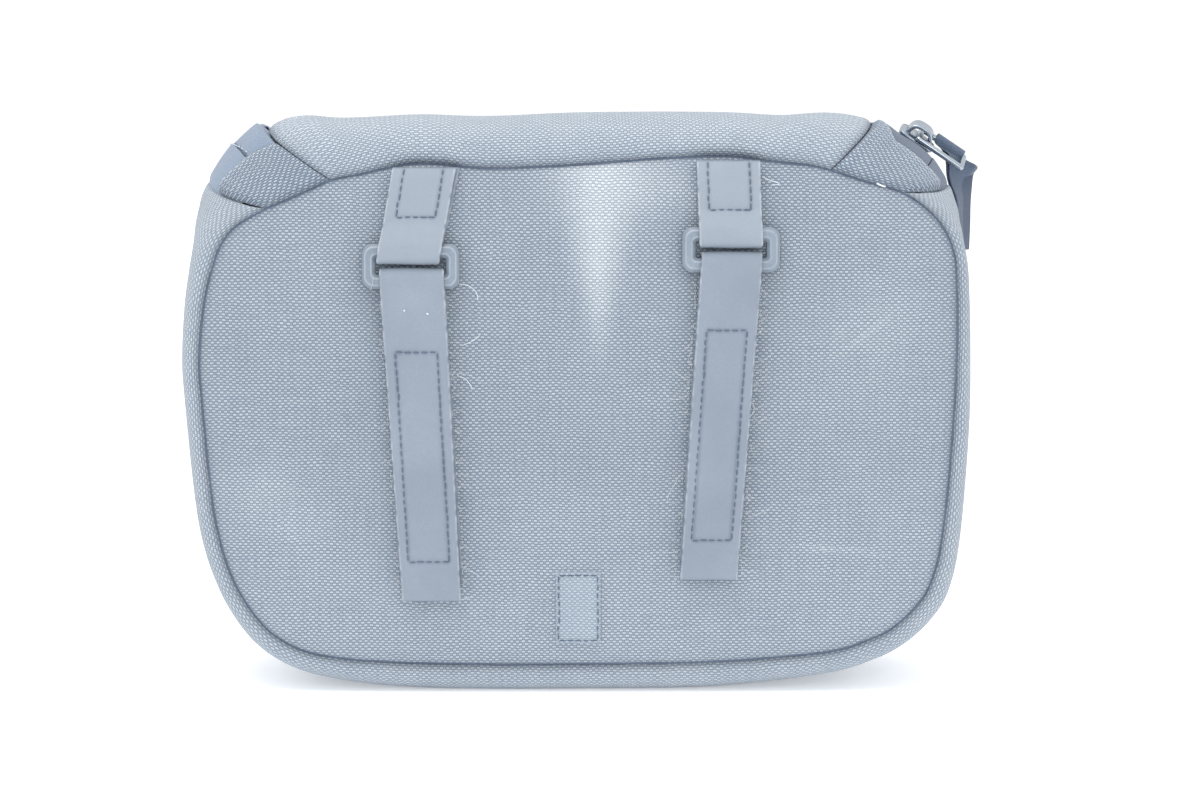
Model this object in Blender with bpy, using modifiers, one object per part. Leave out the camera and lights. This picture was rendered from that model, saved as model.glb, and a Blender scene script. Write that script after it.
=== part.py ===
"""A small soft handlebar bag with two strap-and-ring fastenings on its back panel.

The bag stands on its bottom. X runs across it, Z up, and the panel with the straps faces -Y.
The cloth follows one closed seam line, which both panels share. A row of the seam table also
says how far the cloth between the panels puffs out past the seam there.
"""

import math
from collections import namedtuple

import bmesh
import bpy
import numpy as np
from mathutils import Matrix, Vector

# The bag's seam line, and the depth between the seams of its two panels
SEAM_WIDTH = 0.2417
SEAM_HEIGHT = 0.1632
SEAM_DEPTH = 0.064
SEAM_ABOVE_FLOOR = 0.0094
# How far the cloth between the panels puffs out at the middle of the top
PUFF = 0.0175
ZIP_VALLEY = 0.0025
LEAN_POWER = 2.0

# Cloth
GAP = 0.0003
CLOTH_WALL = 0.0018
PANEL_WALL = 0.003
SEAM_ALLOWANCE = 0.0028
PANEL_LIP = 0.0017
PANEL_LIP_SHARE = 0.035
BACK_DOME = 0.0025
FRONT_DOME = 0.0075

# Zip
TAPE_HALF_WIDTH = 0.011
COIL_WIDTH = 0.006
COIL_THICKNESS = 0.0022
COIL_ABOVE_TAPE = 0.0006
CORNER_TAPE_HALF_WIDTH = 0.0215
TAPE_WIDENING = 0.6
TAPE_EDGE_GAP = 0.0012
ZIP_END_LEFT = 0.016
ZIP_END_RIGHT = 0.006
TAB_ABOVE_SKIN = 0.0009
TAB_WALL = 0.0020
TAB_SEAM_GAP = 0.0014
SLIDER_LENGTH = 0.0115
SLIDER_WIDTH = 0.0095
SLIDER_PLATE = 0.0015
SLIDER_FROM_END = 0.0055
CROWN_WIRE = 0.0008
CROWN_LENGTH = 0.0068
CROWN_FOOT = 0.0006
SLIDER_ROLL_DEG = 14.0
PULL_LENGTH = 0.0195
PULL_WIDTH = 0.0118
PULL_BAR = 0.0017
CROWN_HEIGHT = CROWN_FOOT + PULL_BAR + 3 * GAP + CROWN_WIRE
RIBBON_WIDTH = 0.0108
RIBBON_THICKNESS = 0.0005
RIBBON_BELOW_BAR = 0.034

# Straps and rings
STRAP_WIDTH = 0.0200
STRAP_THICKNESS = 0.0015
RING_WIDTH = 0.0310
RING_HEIGHT = 0.0144
RING_BAR = 0.0045
RING_THICKNESS = 0.0030
RING_ROUND = 0.0009
RING_CORNER = 0.0028
STRAP_SIDE_CLEARANCE = 0.0012
FOLD_ROOM = 0.0014
PAD_THICKNESS = 0.0016
PAD_WIDTH = 0.0160

# Patch
PATCH_WIDTH = 0.0147
PATCH_HEIGHT = 0.0237
PATCH_THICKNESS = 0.0012
PATCH_UP = 0.116

# Fineness of the meshes
COLUMNS = 72
FOLD_STEPS = 8
END_STEP = 0.0006
FINE_STEPS = 1440

# One row for each place on the seam line, from the middle of the bottom anticlockwise as the
# camera sees it. across is a share of half the seam width and up a share of the seam height.
# rise and lean are shares of PUFF: how far the cloth rises past the seam, and how far it
# leans along it. full is the exponent of its profile: 2 is round, 4 is boxy.
Place = namedtuple("Place", "across up rise lean full")
SEAM = [
    Place(0.00, 0.000, 0.62, 0.00, 4.0),
    Place(0.36, 0.005, 0.62, 0.00, 4.0),
    Place(0.65, 0.023, 0.55, 0.00, 4.0),
    Place(0.77, 0.047, 0.53, 0.00, 4.0),
    Place(0.84, 0.073, 0.52, 0.00, 4.0),
    Place(0.90, 0.115, 0.52, 0.00, 4.0),
    Place(0.94, 0.163, 0.49, 0.00, 4.0),
    Place(0.97, 0.262, 0.44, 0.00, 4.0),
    Place(0.993, 0.472, 0.40, 0.00, 4.0),
    Place(1.00, 0.633, 0.34, 0.00, 4.0),
    Place(0.996, 0.766, 0.31, 0.00, 4.0),
    Place(0.986, 0.818, 0.31, -0.02, 3.8),
    Place(0.961, 0.860, 0.40, -0.20, 3.2),
    Place(0.918, 0.897, 0.50, -0.55, 2.6),
    Place(0.848, 0.931, 0.62, -0.90, 2.2),
    Place(0.747, 0.953, 1.05, -0.85, 2.0),
    Place(0.628, 0.980, 1.08, -0.50, 2.4),
    Place(0.514, 0.990, 0.92, -0.15, 3.0),
    Place(0.390, 1.000, 0.85, 0.00, 3.2),
    Place(0.215, 0.996, 0.90, 0.00, 3.2),
    Place(0.003, 0.984, 1.00, 0.00, 3.2),
    Place(-0.235, 0.977, 1.00, 0.00, 3.2),
    Place(-0.420, 0.986, 0.95, 0.12, 3.0),
    Place(-0.574, 0.965, 1.17, 0.60, 2.4),
    Place(-0.645, 0.954, 1.38, 0.95, 2.1),
    Place(-0.738, 0.924, 1.42, 0.92, 2.0),
    Place(-0.840, 0.891, 0.95, 1.00, 2.2),
    Place(-0.907, 0.859, 0.76, 0.52, 2.8),
    Place(-0.944, 0.820, 0.60, 0.20, 3.4),
    Place(-0.973, 0.754, 0.50, 0.00, 4.0),
    Place(-0.989, 0.693, 0.46, 0.00, 4.0),
    Place(-1.000, 0.604, 0.43, 0.00, 4.0),
    Place(-0.996, 0.532, 0.43, 0.00, 4.0),
    Place(-0.975, 0.345, 0.43, 0.00, 4.0),
    Place(-0.955, 0.252, 0.44, 0.00, 4.0),
    Place(-0.926, 0.180, 0.44, 0.00, 4.0),
    Place(-0.885, 0.120, 0.46, 0.00, 4.0),
    Place(-0.825, 0.065, 0.48, 0.00, 4.0),
    Place(-0.743, 0.029, 0.51, 0.00, 4.0),
    Place(-0.640, 0.012, 0.55, 0.00, 4.0),
    Place(-0.500, 0.004, 0.60, 0.00, 4.0),
    Place(-0.310, 0.000, 0.62, 0.00, 4.0),
]

# Where the seams across the corner tabs leave the seam line, as shares like those above
Spot = namedtuple("Spot", "across up")
RIGHT_TAB_LOW = Spot(0.848, 0.931)
RIGHT_TAB_HIGH = Spot(0.660, 0.972)
LEFT_TAB_HIGH = Spot(-0.645, 0.954)
LEFT_TAB_LOW = Spot(-0.840, 0.891)

# Each strap's middle, as shares of half the seam width and of the seam height
StrapLine = namedtuple("StrapLine", "side top_across ring_across end_across ring_up end_up pad_high pad_low")
STRAP_LINES = [
    StrapLine("left", -0.400, -0.436, -0.387, 0.789, 0.135, 0.645, 0.205),
    StrapLine("right", 0.392, 0.400, 0.345, 0.821, 0.178, 0.690, 0.255),
]

# The ribbon's middle line: drop is a share of its length below the pull's bar, out and fore
# are shares of its width, and turn is its angle from the X axis in degrees
Hang = namedtuple("Hang", "drop out fore turn")
RIBBON = [
    Hang(0.14, 0.10, -0.06, 14.0),
    Hang(0.30, 0.24, -0.14, 44.0),
    Hang(0.50, 0.38, -0.20, 66.0),
    Hang(0.75, 0.44, -0.24, 76.0),
    Hang(1.00, 0.44, -0.26, 80.0),
]


def linear(code):
    """A colour as a screen shows it, turned into Blender's linear values."""
    shown = [int(code[i : i + 2], 16) / 255 for i in (1, 3, 5)]
    return [c / 12.92 if c <= 0.04045 else ((c + 0.055) / 1.055) ** 2.4 for c in shown]


def material(name, code, roughness, metallic=0.0):
    made = bpy.data.materials.new(name)
    made.use_nodes = True
    shader = made.node_tree.nodes["Principled BSDF"]
    shader.inputs["Base Color"].default_value = (*linear(code), 1.0)
    shader.inputs["Roughness"].default_value = roughness
    shader.inputs["Metallic"].default_value = metallic
    return made


def new_collection(name):
    made = bpy.data.collections.new(name)
    bpy.context.scene.collection.children.link(made)
    return made


def seam_curve():
    """The closed seam line at even steps of its length: its places, normals and tangents,
    and the table's other columns along it. A periodic Catmull-Rom curve joins the rows."""
    rows = np.array([list(place) for place in SEAM])
    rows[:, 0] *= SEAM_WIDTH / 2
    rows[:, 1] = SEAM_ABOVE_FLOOR + rows[:, 1] * SEAM_HEIGHT
    before, after, last = np.roll(rows, 1, 0), np.roll(rows, -1, 0), np.roll(rows, -2, 0)
    steps = np.arange(40)[:, None] / 40
    curve = np.concatenate([
        0.5 * (2 * b + (c - a) * steps + (2 * a - 5 * b + 4 * c - d) * steps**2
               + (3 * b - a - 3 * c + d) * steps**3)
        for a, b, c, d in zip(before, rows, after, last)
    ])
    closed = np.vstack([curve, curve[:1]])
    length = np.concatenate([[0], np.cumsum(np.hypot(*np.diff(closed[:, :2], axis=0).T))])
    even = np.linspace(0, length[-1], FINE_STEPS, endpoint=False)
    fine = np.stack([np.interp(even, length, column) for column in closed.T], 1)
    along = np.roll(fine[:, :2], -6, 0) - np.roll(fine[:, :2], 6, 0)
    along /= np.hypot(*along.T)[:, None]
    return fine, along, length[-1]


FINE, ALONG, SEAM_LENGTH = seam_curve()


def seam(share):
    """Place, outward normal, tangent, rise, lean and fullness at shares of the seam's length."""
    spot = np.mod(share, 1.0) * FINE_STEPS
    steps = np.arange(FINE_STEPS + 1)
    columns = np.hstack([FINE, ALONG])
    columns = np.vstack([columns, columns[:1]])
    at = np.stack([np.interp(spot, steps, column) for column in columns.T], -1)
    tangent = at[..., 5:7] / np.linalg.norm(at[..., 5:7], axis=-1, keepdims=True)
    normal = np.stack([tangent[..., 1], -tangent[..., 0]], -1)
    return at[..., :2], normal, tangent, at[..., 2] * PUFF, at[..., 3] * PUFF, at[..., 4]


def share_at(spot):
    """The share of the seam's length where it passes closest to a spot."""
    place = np.array([spot.across * SEAM_WIDTH / 2, SEAM_ABOVE_FLOOR + spot.up * SEAM_HEIGHT])
    return float(np.argmin(np.hypot(*(FINE[:, :2] - place).T))) / FINE_STEPS


def skin(share, angle, above=0.0):
    """The cloth between the panels. angle is 0 at the back seam and 180 degrees at the front
    seam, and the profile between them is a superellipse. The floor flattens it."""
    place, normal, tangent, rise, lean, full = seam(share)
    cosine, sine = np.cos(angle), np.clip(np.sin(angle), 0, 1)
    across = np.sign(cosine) * np.abs(cosine) ** (2 / full)
    height = sine ** (2 / full)
    top = np.clip((place[..., 1] - SEAM_ABOVE_FLOOR) / SEAM_HEIGHT - 0.94, 0, 0.03) / 0.03
    boxy = np.clip(full - 2.4, 0, 0.6) / 0.6
    valley = ZIP_VALLEY * top * boxy * np.exp(-((across / 0.3) ** 2))
    out = GAP / 2 + rise * height - valley + above * np.minimum(1, 4 * height)
    flat = place + normal * out[..., None] + tangent * (lean * height**LEAN_POWER)[..., None]
    z = np.maximum(flat[..., 1], 0.0)
    return np.stack([flat[..., 0], -SEAM_DEPTH / 2 * across, z], -1)


def angle_at(share, y):
    """The profile angle at which the cloth stands y metres from the middle plane."""
    full = seam(share)[5]
    across = np.clip(-y / (SEAM_DEPTH / 2), -1, 1)
    return np.arccos(np.sign(across) * np.abs(across) ** (full / 2))


def seam_columns():
    """The shares of the seam's length at which every piece of cloth has its points. The tab
    seams are among them, so that neighbours bend at the same places."""
    turns = [*TAB_SHARES, TAB_SHARES[0] + 1]
    runs = []
    for start, end in zip(turns, turns[1:]):
        runs.append(np.linspace(start, end, max(4, round((end - start) * COLUMNS)), endpoint=False))
    return np.concatenate(runs)


TAB_SHARES = [share_at(spot) for spot in (RIGHT_TAB_LOW, RIGHT_TAB_HIGH, LEFT_TAB_HIGH, LEFT_TAB_LOW)]
COLUMN_SHARES = seam_columns()


def columns_between(start, end, gap):
    """The shared columns between two shares of the seam, ending half a gap in from each.
    A short step next to each end lets the walls of two neighbours meet at the same slant."""
    inset = gap / 2 / SEAM_LENGTH
    edge = inset + END_STEP / SEAM_LENGTH
    every = np.concatenate([COLUMN_SHARES - 1, COLUMN_SHARES, COLUMN_SHARES + 1])
    inside = every[(every > start + 2 * edge) & (every < end - 2 * edge)]
    return np.concatenate([[start + inset, start + edge], inside, [end - edge, end - inset]])


def skirt(share, side):
    """The seam allowance turned in along a panel's seam."""
    place, normal = seam(share)[:2]
    flat = place + normal * GAP / 2
    y = side * (SEAM_DEPTH / 2 - SEAM_ALLOWANCE) * np.ones(len(flat))
    return np.stack([flat[:, 0], y, flat[:, 1]], -1)


def add_mesh(name, points, faces, collection, finish):
    mesh = bpy.data.meshes.new(name)
    mesh.from_pydata([tuple(p) for p in points], [], faces)
    mesh.shade_smooth()
    mesh.set_sharp_from_angle(angle=math.radians(40))
    made = bpy.data.objects.new(name, mesh)
    made.data.materials.append(finish)
    collection.objects.link(made)
    return made


def solidify(made, thickness, offset=-1.0):
    shell = made.modifiers.new("wall", "SOLIDIFY")
    shell.thickness = thickness
    shell.offset = offset
    shell.use_even_offset = True
    return made


def add_sheet(name, rows, thickness, collection, finish, offset=-1.0):
    """An open sheet of cloth through rows of points, given its thickness."""
    high, wide = rows.shape[:2]
    faces = [
        (r * wide + c, (r + 1) * wide + c, (r + 1) * wide + c + 1, r * wide + c + 1)
        for r in range(high - 1)
        for c in range(wide - 1)
    ]
    made = add_mesh(name, rows.reshape(-1, 3), faces, collection, finish)
    return solidify(made, thickness, offset)


def add_band(name, start, end, low, high, steps, collection, finish, wall=CLOTH_WALL, above=0.0, gap=TAB_SEAM_GAP):
    """A band of the skin between two shares of the seam. low and high give the profile
    angle, or None where the band is sewn to the back or the front panel."""
    share = columns_between(start, end, gap)
    first = np.zeros(len(share)) if low is None else low(share)
    last = np.full(len(share), math.pi) if high is None else high(share)
    rows = [skin(share, first + (last - first) * k / steps, above) for k in range(steps + 1)]
    if low is None:
        rows.insert(0, skirt(share, -1))
    if high is None:
        rows.append(skirt(share, 1))
    return add_sheet(name, np.stack(rows), wall, collection, finish)


def add_panel(name, side, dome, collection, finish):
    """A padded panel: rings from its turned-in seam allowance to its middle."""
    share = COLUMN_SHARES
    place, normal = seam(share)[:2]
    rim = place - normal * GAP / 2
    middle = np.array([0.0, SEAM_ABOVE_FLOOR + SEAM_HEIGHT / 2])
    count = len(share)
    inner = side * (SEAM_DEPTH / 2 - SEAM_ALLOWANCE) * np.ones(count)
    rings = [np.stack([rim[:, 0], inner, rim[:, 1]], -1)]
    for reach in (1.0, 0.988, 0.965, 0.86, 0.62, 0.3):
        flat = middle + (rim - middle) * reach
        y = side * (SEAM_DEPTH / 2 + panel_bulge(reach, dome)) * np.ones(count)
        rings.append(np.stack([flat[:, 0], y, flat[:, 1]], -1))
    hub = np.array([[0, side * (SEAM_DEPTH / 2 + panel_bulge(0, dome)), middle[1]]])
    points = np.concatenate([*rings, hub])
    faces = []
    for r in range(len(rings) - 1):
        near, far = r * count, (r + 1) * count
        for c in range(count):
            d = (c + 1) % count
            faces.append((near + c, near + d, far + d, far + c))
    base = (len(rings) - 1) * count
    faces += [(base + c, base + (c + 1) % count, len(points) - 1) for c in range(count)]
    if side > 0:
        faces = [face[::-1] for face in faces]
    return solidify(add_mesh(name, points, faces, collection, finish), PANEL_WALL)


def panel_bulge(reach, dome):
    """How far a panel stands out past its seam at a share of the way to the seam."""
    edge = np.clip((reach - 1 + PANEL_LIP_SHARE) / PANEL_LIP_SHARE, 0, 1)
    return PANEL_LIP * np.sqrt(1 - edge**2) + dome * (1 - np.minimum(reach, 1) ** 2)


def back_y(x, z):
    """The back panel's surface at a place across and up."""
    middle = np.array([0.0, SEAM_ABOVE_FLOOR + SEAM_HEIGHT / 2])
    rim = FINE[:, :2] - middle
    turn = np.arctan2(rim[:, 1], rim[:, 0])
    order = np.argsort(turn)
    reach = np.hypot(x, z - middle[1])
    edge = np.interp(np.arctan2(z - middle[1], x), turn[order], np.hypot(*rim.T)[order], period=2 * math.pi)
    return -(SEAM_DEPTH / 2 + panel_bulge(reach / edge, BACK_DOME))


def over_panel(x, z, width, depth):
    """A place depth metres off the back panel, clear of it across a strap's width."""
    front = min(back_y(x + offset, z) for offset in (-width / 2, 0, width / 2))
    return np.array([x, front - depth, z])


def add_strap(name, path, width, thickness, collection, finish):
    """A flat strap along a path, level across."""
    half = np.array([width / 2, 0, 0])
    rows = np.stack([[point - half, point + half] for point in path])
    return add_sheet(name, rows, thickness, collection, finish, offset=0.0)


def rounded_frame(name, width, height, corner, window, thickness, edge, collection, finish):
    """A flat rectangular ring: two outlines in one filled curve, its edges rounded."""
    curve = bpy.data.curves.new(name, "CURVE")
    curve.dimensions = "2D"
    curve.fill_mode = "BOTH"
    curve.extrude = thickness / 2 - edge
    curve.bevel_depth = edge
    curve.bevel_resolution = 1
    for wide, high, cut in (
        (width - 2 * edge, height - 2 * edge, corner),
        (window[0] + 2 * edge, window[1] + 2 * edge, corner * 0.3),
    ):
        spline = curve.splines.new("POLY")
        corners = []
        for quarter in range(4):
            sx, sy = ((1, -1), (1, 1), (-1, 1), (-1, -1))[quarter]
            for k in range(3):
                turn = math.radians(90 * (quarter - 1) + 45 * k)
                corners.append((sx * (wide / 2 - cut) + cut * math.cos(turn),
                                sy * (high / 2 - cut) + cut * math.sin(turn), 0, 1))
        spline.points.add(len(corners) - 1)
        for point, corner_at in zip(spline.points, corners):
            point.co = corner_at
        spline.use_cyclic_u = True
    made = bpy.data.objects.new(name, curve)
    made.data.materials.append(finish)
    collection.objects.link(made)
    return made


def ring_frame(x, z):
    """A place on the back panel, with the directions up along the panel and out of it."""
    step = RING_HEIGHT / 2
    high, low = over_panel(x, z + step, STRAP_WIDTH, 0), over_panel(x, z - step, STRAP_WIDTH, 0)
    up = (high - low) / np.linalg.norm(high - low)
    return (high + low) / 2, up, np.array([0, -up[2], up[1]])


def fold_path(ring, down, x_far, z_far, depths):
    """One strap's middle line from behind a ring's bar, over the bar and down its front.

    down is 1 for a strap that hangs below its bar and -1 for one that rises above it.
    depths are its distances from the panel behind the bar, before it and at its far end.
    """
    place, up, out = ring
    behind, before, far = depths
    high = FOLD_ROOM + RING_THICKNESS / 2
    centre = down * (FOLD_ROOM - high - RING_HEIGHT / 2 + RING_BAR)
    bar = []
    for k in range(FOLD_STEPS + 1):
        turn = math.pi * k / FOLD_STEPS
        depth = (behind + before) / 2 - (before - behind) / 2 * math.cos(turn)
        bar.append(place + up * (centre + down * high * math.sin(turn)) + out * depth)
    runs = []
    for end_z, near_depth, far_depth in ((z_far[0], behind, behind), (z_far[1], before, far)):
        reach = abs(place[2] - end_z) - RING_HEIGHT / 2
        run = [place - up * down * RING_HEIGHT / 2 + out * near_depth]
        for step in (4, 9, 15, 26, 38, 50, 62, 74, 87, 100):
            z = place[2] - down * (RING_HEIGHT / 2 + reach * step / 100)
            x = place[0] + (x_far - place[0]) * (RING_HEIGHT / 2 + reach * step / 100) / abs(place[2] - z_far[1])
            ease = max(0.0, 1 - step / 26)
            run.append(over_panel(x, z, STRAP_WIDTH, far_depth + (near_depth - far_depth) * ease))
        runs.append(run)
    return runs[0][::-1] + bar + runs[1]


def add_fastening(line, collection, strap_finish, ring_finish, pad_finish):
    """One side's ring, the short strap that holds it, the long strap and its pad."""
    half = SEAM_WIDTH / 2
    ring_z = SEAM_ABOVE_FLOOR + line.ring_up * SEAM_HEIGHT
    ring_x = line.ring_across * half
    end_z = SEAM_ABOVE_FLOOR + line.end_up * SEAM_HEIGHT
    behind = GAP + STRAP_THICKNESS / 2
    ring_depth = 2 * GAP + STRAP_THICKNESS + RING_THICKNESS / 2
    before = 3 * GAP + 1.5 * STRAP_THICKNESS + RING_THICKNESS
    far = 3 * GAP + 1.5 * STRAP_THICKNESS + PAD_THICKNESS

    ring = rounded_frame(
        "ring_" + line.side, RING_WIDTH, RING_HEIGHT, RING_CORNER,
        (STRAP_WIDTH + 2 * STRAP_SIDE_CLEARANCE, RING_HEIGHT - 2 * RING_BAR),
        RING_THICKNESS, RING_ROUND, collection, ring_finish,
    )
    seat = ring_frame(ring_x, ring_z)
    ring.location = seat[0] + seat[2] * ring_depth
    ring.rotation_euler = (math.pi / 2 - math.atan2(seat[1][1], seat[1][2]), 0, 0)

    path = fold_path(seat, 1, line.end_across * half, (end_z + STRAP_WIDTH / 4, end_z), (behind, before, far))
    add_strap("bar_strap_" + line.side, path, STRAP_WIDTH, STRAP_THICKNESS, collection, strap_finish)

    top_x = line.top_across * half
    gap_to_edge = [place[1] for place in FINE[:, :2] if abs(place[0] - top_x) < STRAP_WIDTH / 2]
    top_z = min(z for z in gap_to_edge if z > ring_z) - GAP
    near = GAP + 2 * STRAP_THICKNESS
    path = fold_path(seat, -1, top_x, (top_z, top_z), (behind, before, near))
    add_strap("ring_loop_" + line.side, path, STRAP_WIDTH, STRAP_THICKNESS, collection, strap_finish)

    pad_depth = 2 * GAP + STRAP_THICKNESS + PAD_THICKNESS / 2
    pad = []
    for k in range(9):
        up = line.pad_low + (line.pad_high - line.pad_low) * k / 8
        share = (line.ring_up - up) / (line.ring_up - line.end_up)
        x = (line.ring_across + (line.end_across - line.ring_across) * share) * half
        pad.append(over_panel(x, SEAM_ABOVE_FLOOR + up * SEAM_HEIGHT, STRAP_WIDTH, pad_depth))
    add_strap("hook_pad_" + line.side, pad, PAD_WIDTH, PAD_THICKNESS, collection, pad_finish)


def add_patch(collection, finish):
    middle = SEAM_ABOVE_FLOOR + PATCH_UP * SEAM_HEIGHT
    rows = [
        over_panel(0.0, middle + PATCH_HEIGHT * (k / 6 - 0.5), PATCH_WIDTH, GAP + PATCH_THICKNESS / 2)
        for k in range(7)
    ]
    add_strap("base_patch", rows, PATCH_WIDTH, PATCH_THICKNESS, collection, finish)


def mesh_from(made, collection):
    """A curve or an object with modifiers, made a plain mesh in its place."""
    bpy.context.view_layer.update()
    evaluated = made.evaluated_get(bpy.context.evaluated_depsgraph_get())
    mesh = bpy.data.meshes.new_from_object(evaluated)
    work = bmesh.new()
    work.from_mesh(mesh)
    bmesh.ops.remove_doubles(work, verts=work.verts, dist=0.00001)
    work.to_mesh(mesh)
    work.free()
    plain = bpy.data.objects.new(made.name + "_mesh", mesh)
    plain.matrix_world = made.matrix_world
    bpy.data.objects.remove(made)
    collection.objects.link(plain)
    return plain


def add_slider(seat, axes, collection, cutters, finish):
    """The slider: a plate with a wire crown that the pull hangs in."""
    bpy.ops.mesh.primitive_cube_add(size=1)
    plate = bpy.context.object
    plate.name = "zip_slider"
    plate.data.transform(Matrix.Diagonal((SLIDER_LENGTH, SLIDER_WIDTH, SLIDER_PLATE, 1)))
    for owner in list(plate.users_collection):
        owner.objects.unlink(plate)
    collection.objects.link(plate)
    plate.data.materials.append(finish)
    plate.matrix_world = Matrix.Translation(seat + axes[2] * SLIDER_PLATE / 2) @ turned(axes)
    edge = plate.modifiers.new("edge", "BEVEL")
    edge.width = SLIDER_PLATE * 0.3
    edge.segments = 2

    crown = bpy.data.curves.new("crown", "CURVE")
    crown.dimensions = "3D"
    crown.bevel_depth = CROWN_WIRE
    crown.bevel_resolution = 2
    crown.use_fill_caps = True
    spline = crown.splines.new("POLY")
    spline.points.add(12)
    for k, point in enumerate(spline.points):
        turn = math.pi * k / 12
        point.co = (-CROWN_LENGTH / 2 * math.cos(turn), 0, CROWN_HEIGHT * math.sin(turn), 1)
    wire = bpy.data.objects.new("crown", crown)
    cutters.objects.link(wire)
    wire.matrix_world = Matrix.Translation(seat + axes[2] * (SLIDER_PLATE - CROWN_FOOT)) @ turned(axes)
    wire = mesh_from(wire, cutters)
    wire.hide_render = True
    wire.display_type = "WIRE"
    join = plate.modifiers.new("crown", "BOOLEAN")
    join.operation = "UNION"
    join.object = wire
    return seat + axes[2] * (SLIDER_PLATE + GAP + PULL_BAR / 2)


def turned(axes):
    """The rotation that carries X, Y and Z to three axes."""
    return Matrix([[axis[row] for axis in axes] for row in range(3)]).to_4x4()


def add_pull(hold, axes, collection, finish):
    """The pull: a flat frame under the crown, in line with the slider. Returns the middle of
    the stretch of its rear bar that the ribbon covers."""
    frame = rounded_frame(
        "zip_pull", PULL_LENGTH, PULL_WIDTH, PULL_BAR,
        (PULL_LENGTH - 2 * PULL_BAR, PULL_WIDTH - 2 * PULL_BAR),
        PULL_BAR, PULL_BAR * 0.3, collection, finish,
    )
    reach = axes[0] * (PULL_LENGTH - PULL_BAR)
    frame.matrix_world = Matrix.Translation(hold + reach / 2) @ turned(axes)
    ribbon_middle = PULL_LENGTH - 1.5 * PULL_BAR - 6 * GAP - RIBBON_WIDTH / 2
    return hold + axes[0] * ribbon_middle + axes[1] * (PULL_WIDTH - PULL_BAR) / 2


def add_ribbon(bar, axes, collection, finish):
    """The ribbon: two layers that hang from one fold round the pull's rear bar."""
    bar, along, wide, up = (np.array(vector) for vector in (bar, *axes))
    room = PULL_BAR / 2 * math.sqrt(2) + GAP + RIBBON_THICKNESS / 2
    fold = []
    for k in range(FOLD_STEPS + 1):
        turn = math.pi * k / FOLD_STEPS
        fold.append((bar + room * (up * math.sin(turn) - wide * math.cos(turn)), along))
    layers = []
    for apart in (1, -1):
        layer = []
        for hang in RIBBON:
            turn = math.radians(hang.turn)
            tilt = max(0.0, 1 - hang.drop / 0.3)
            across = np.array([math.cos(turn), math.sin(turn), 0]) * (1 - tilt) + along * tilt
            across /= np.linalg.norm(across)
            facing = np.array([math.sin(turn), -math.cos(turn), 0])
            centre = bar + np.array([
                hang.out * RIBBON_WIDTH,
                hang.fore * RIBBON_WIDTH,
                -hang.drop * RIBBON_BELOW_BAR,
            ])
            layer.append((centre + facing * apart * (RIBBON_THICKNESS + room * tilt), across))
        layers.append(layer)
    strip = layers[0][::-1] + fold + layers[1]
    rows = np.stack([
        [centre - across * RIBBON_WIDTH / 2, centre + across * RIBBON_WIDTH / 2]
        for centre, across in strip
    ])
    add_sheet("pull_ribbon", rows, RIBBON_THICKNESS, collection, finish, offset=0.0)


def tape_half_width(share):
    """The zip tape's half width, which grows from the tab seams to the ends of the zip."""
    into_right = (TAB_SHARES[1] - share) / (TAB_SHARES[1] - TAB_SHARES[0])
    into_left = (share - TAB_SHARES[2]) / (TAB_SHARES[3] - TAB_SHARES[2])
    into = np.clip(np.maximum(into_right, into_left) / TAPE_WIDENING, 0, 1)
    ease = into * into * (3 - 2 * into)
    return TAPE_HALF_WIDTH + (CORNER_TAPE_HALF_WIDTH - TAPE_HALF_WIDTH) * ease


def add_zip(start, end, collection, cutters, finishes):
    """The zip between two shares of the seam, with its covered ends, slider and ribbon."""
    inner = (start + ZIP_END_RIGHT / SEAM_LENGTH, end - ZIP_END_LEFT / SEAM_LENGTH)

    def at_y(y):
        return lambda share: angle_at(share, y)

    def tape_edge(side):
        return lambda share: angle_at(share, side * (tape_half_width(share) - TAPE_EDGE_GAP))

    coil_edge = COIL_WIDTH / 2
    add_band("zip_tape_back", *inner, tape_edge(-1), at_y(-coil_edge - GAP / 2), 3, collection, finishes["tape"])
    add_band("zip_tape_front", *inner, at_y(coil_edge + GAP / 2), tape_edge(1), 3, collection, finishes["tape"])
    add_band("zip_coil", *inner, at_y(-coil_edge + GAP / 2), at_y(coil_edge - GAP / 2), 2,
             collection, finishes["coil"], COIL_THICKNESS, COIL_ABOVE_TAPE)
    for name, low, high in (("zip_end_right", start, inner[0]), ("zip_end_left", inner[1], end)):
        add_band(name, low, high, tape_edge(-1), tape_edge(1), 8, collection, finishes["tape"])

    spot = inner[0] + SLIDER_FROM_END / SEAM_LENGTH
    ahead = 0.004
    places = [Vector(skin(np.array(spot + step), np.array(math.pi / 2), COIL_ABOVE_TAPE)) for step in (-ahead, 0, ahead)]
    along = (places[0] - places[2]).normalized()
    roll = math.radians(SLIDER_ROLL_DEG)
    level = Vector((0, 1, 0))
    square = along.cross(level)
    wide = level * math.cos(roll) + square * math.sin(roll)
    axes = (along, wide, along.cross(wide))
    seat = places[1] + square * (3 * GAP + COIL_WIDTH / 2 * math.sin(roll))
    hold = add_slider(seat, axes, collection, cutters, finishes["metal"])
    bar = add_pull(hold, axes, collection, finishes["metal"])
    add_ribbon(bar, axes, collection, finishes["ribbon"])


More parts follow.
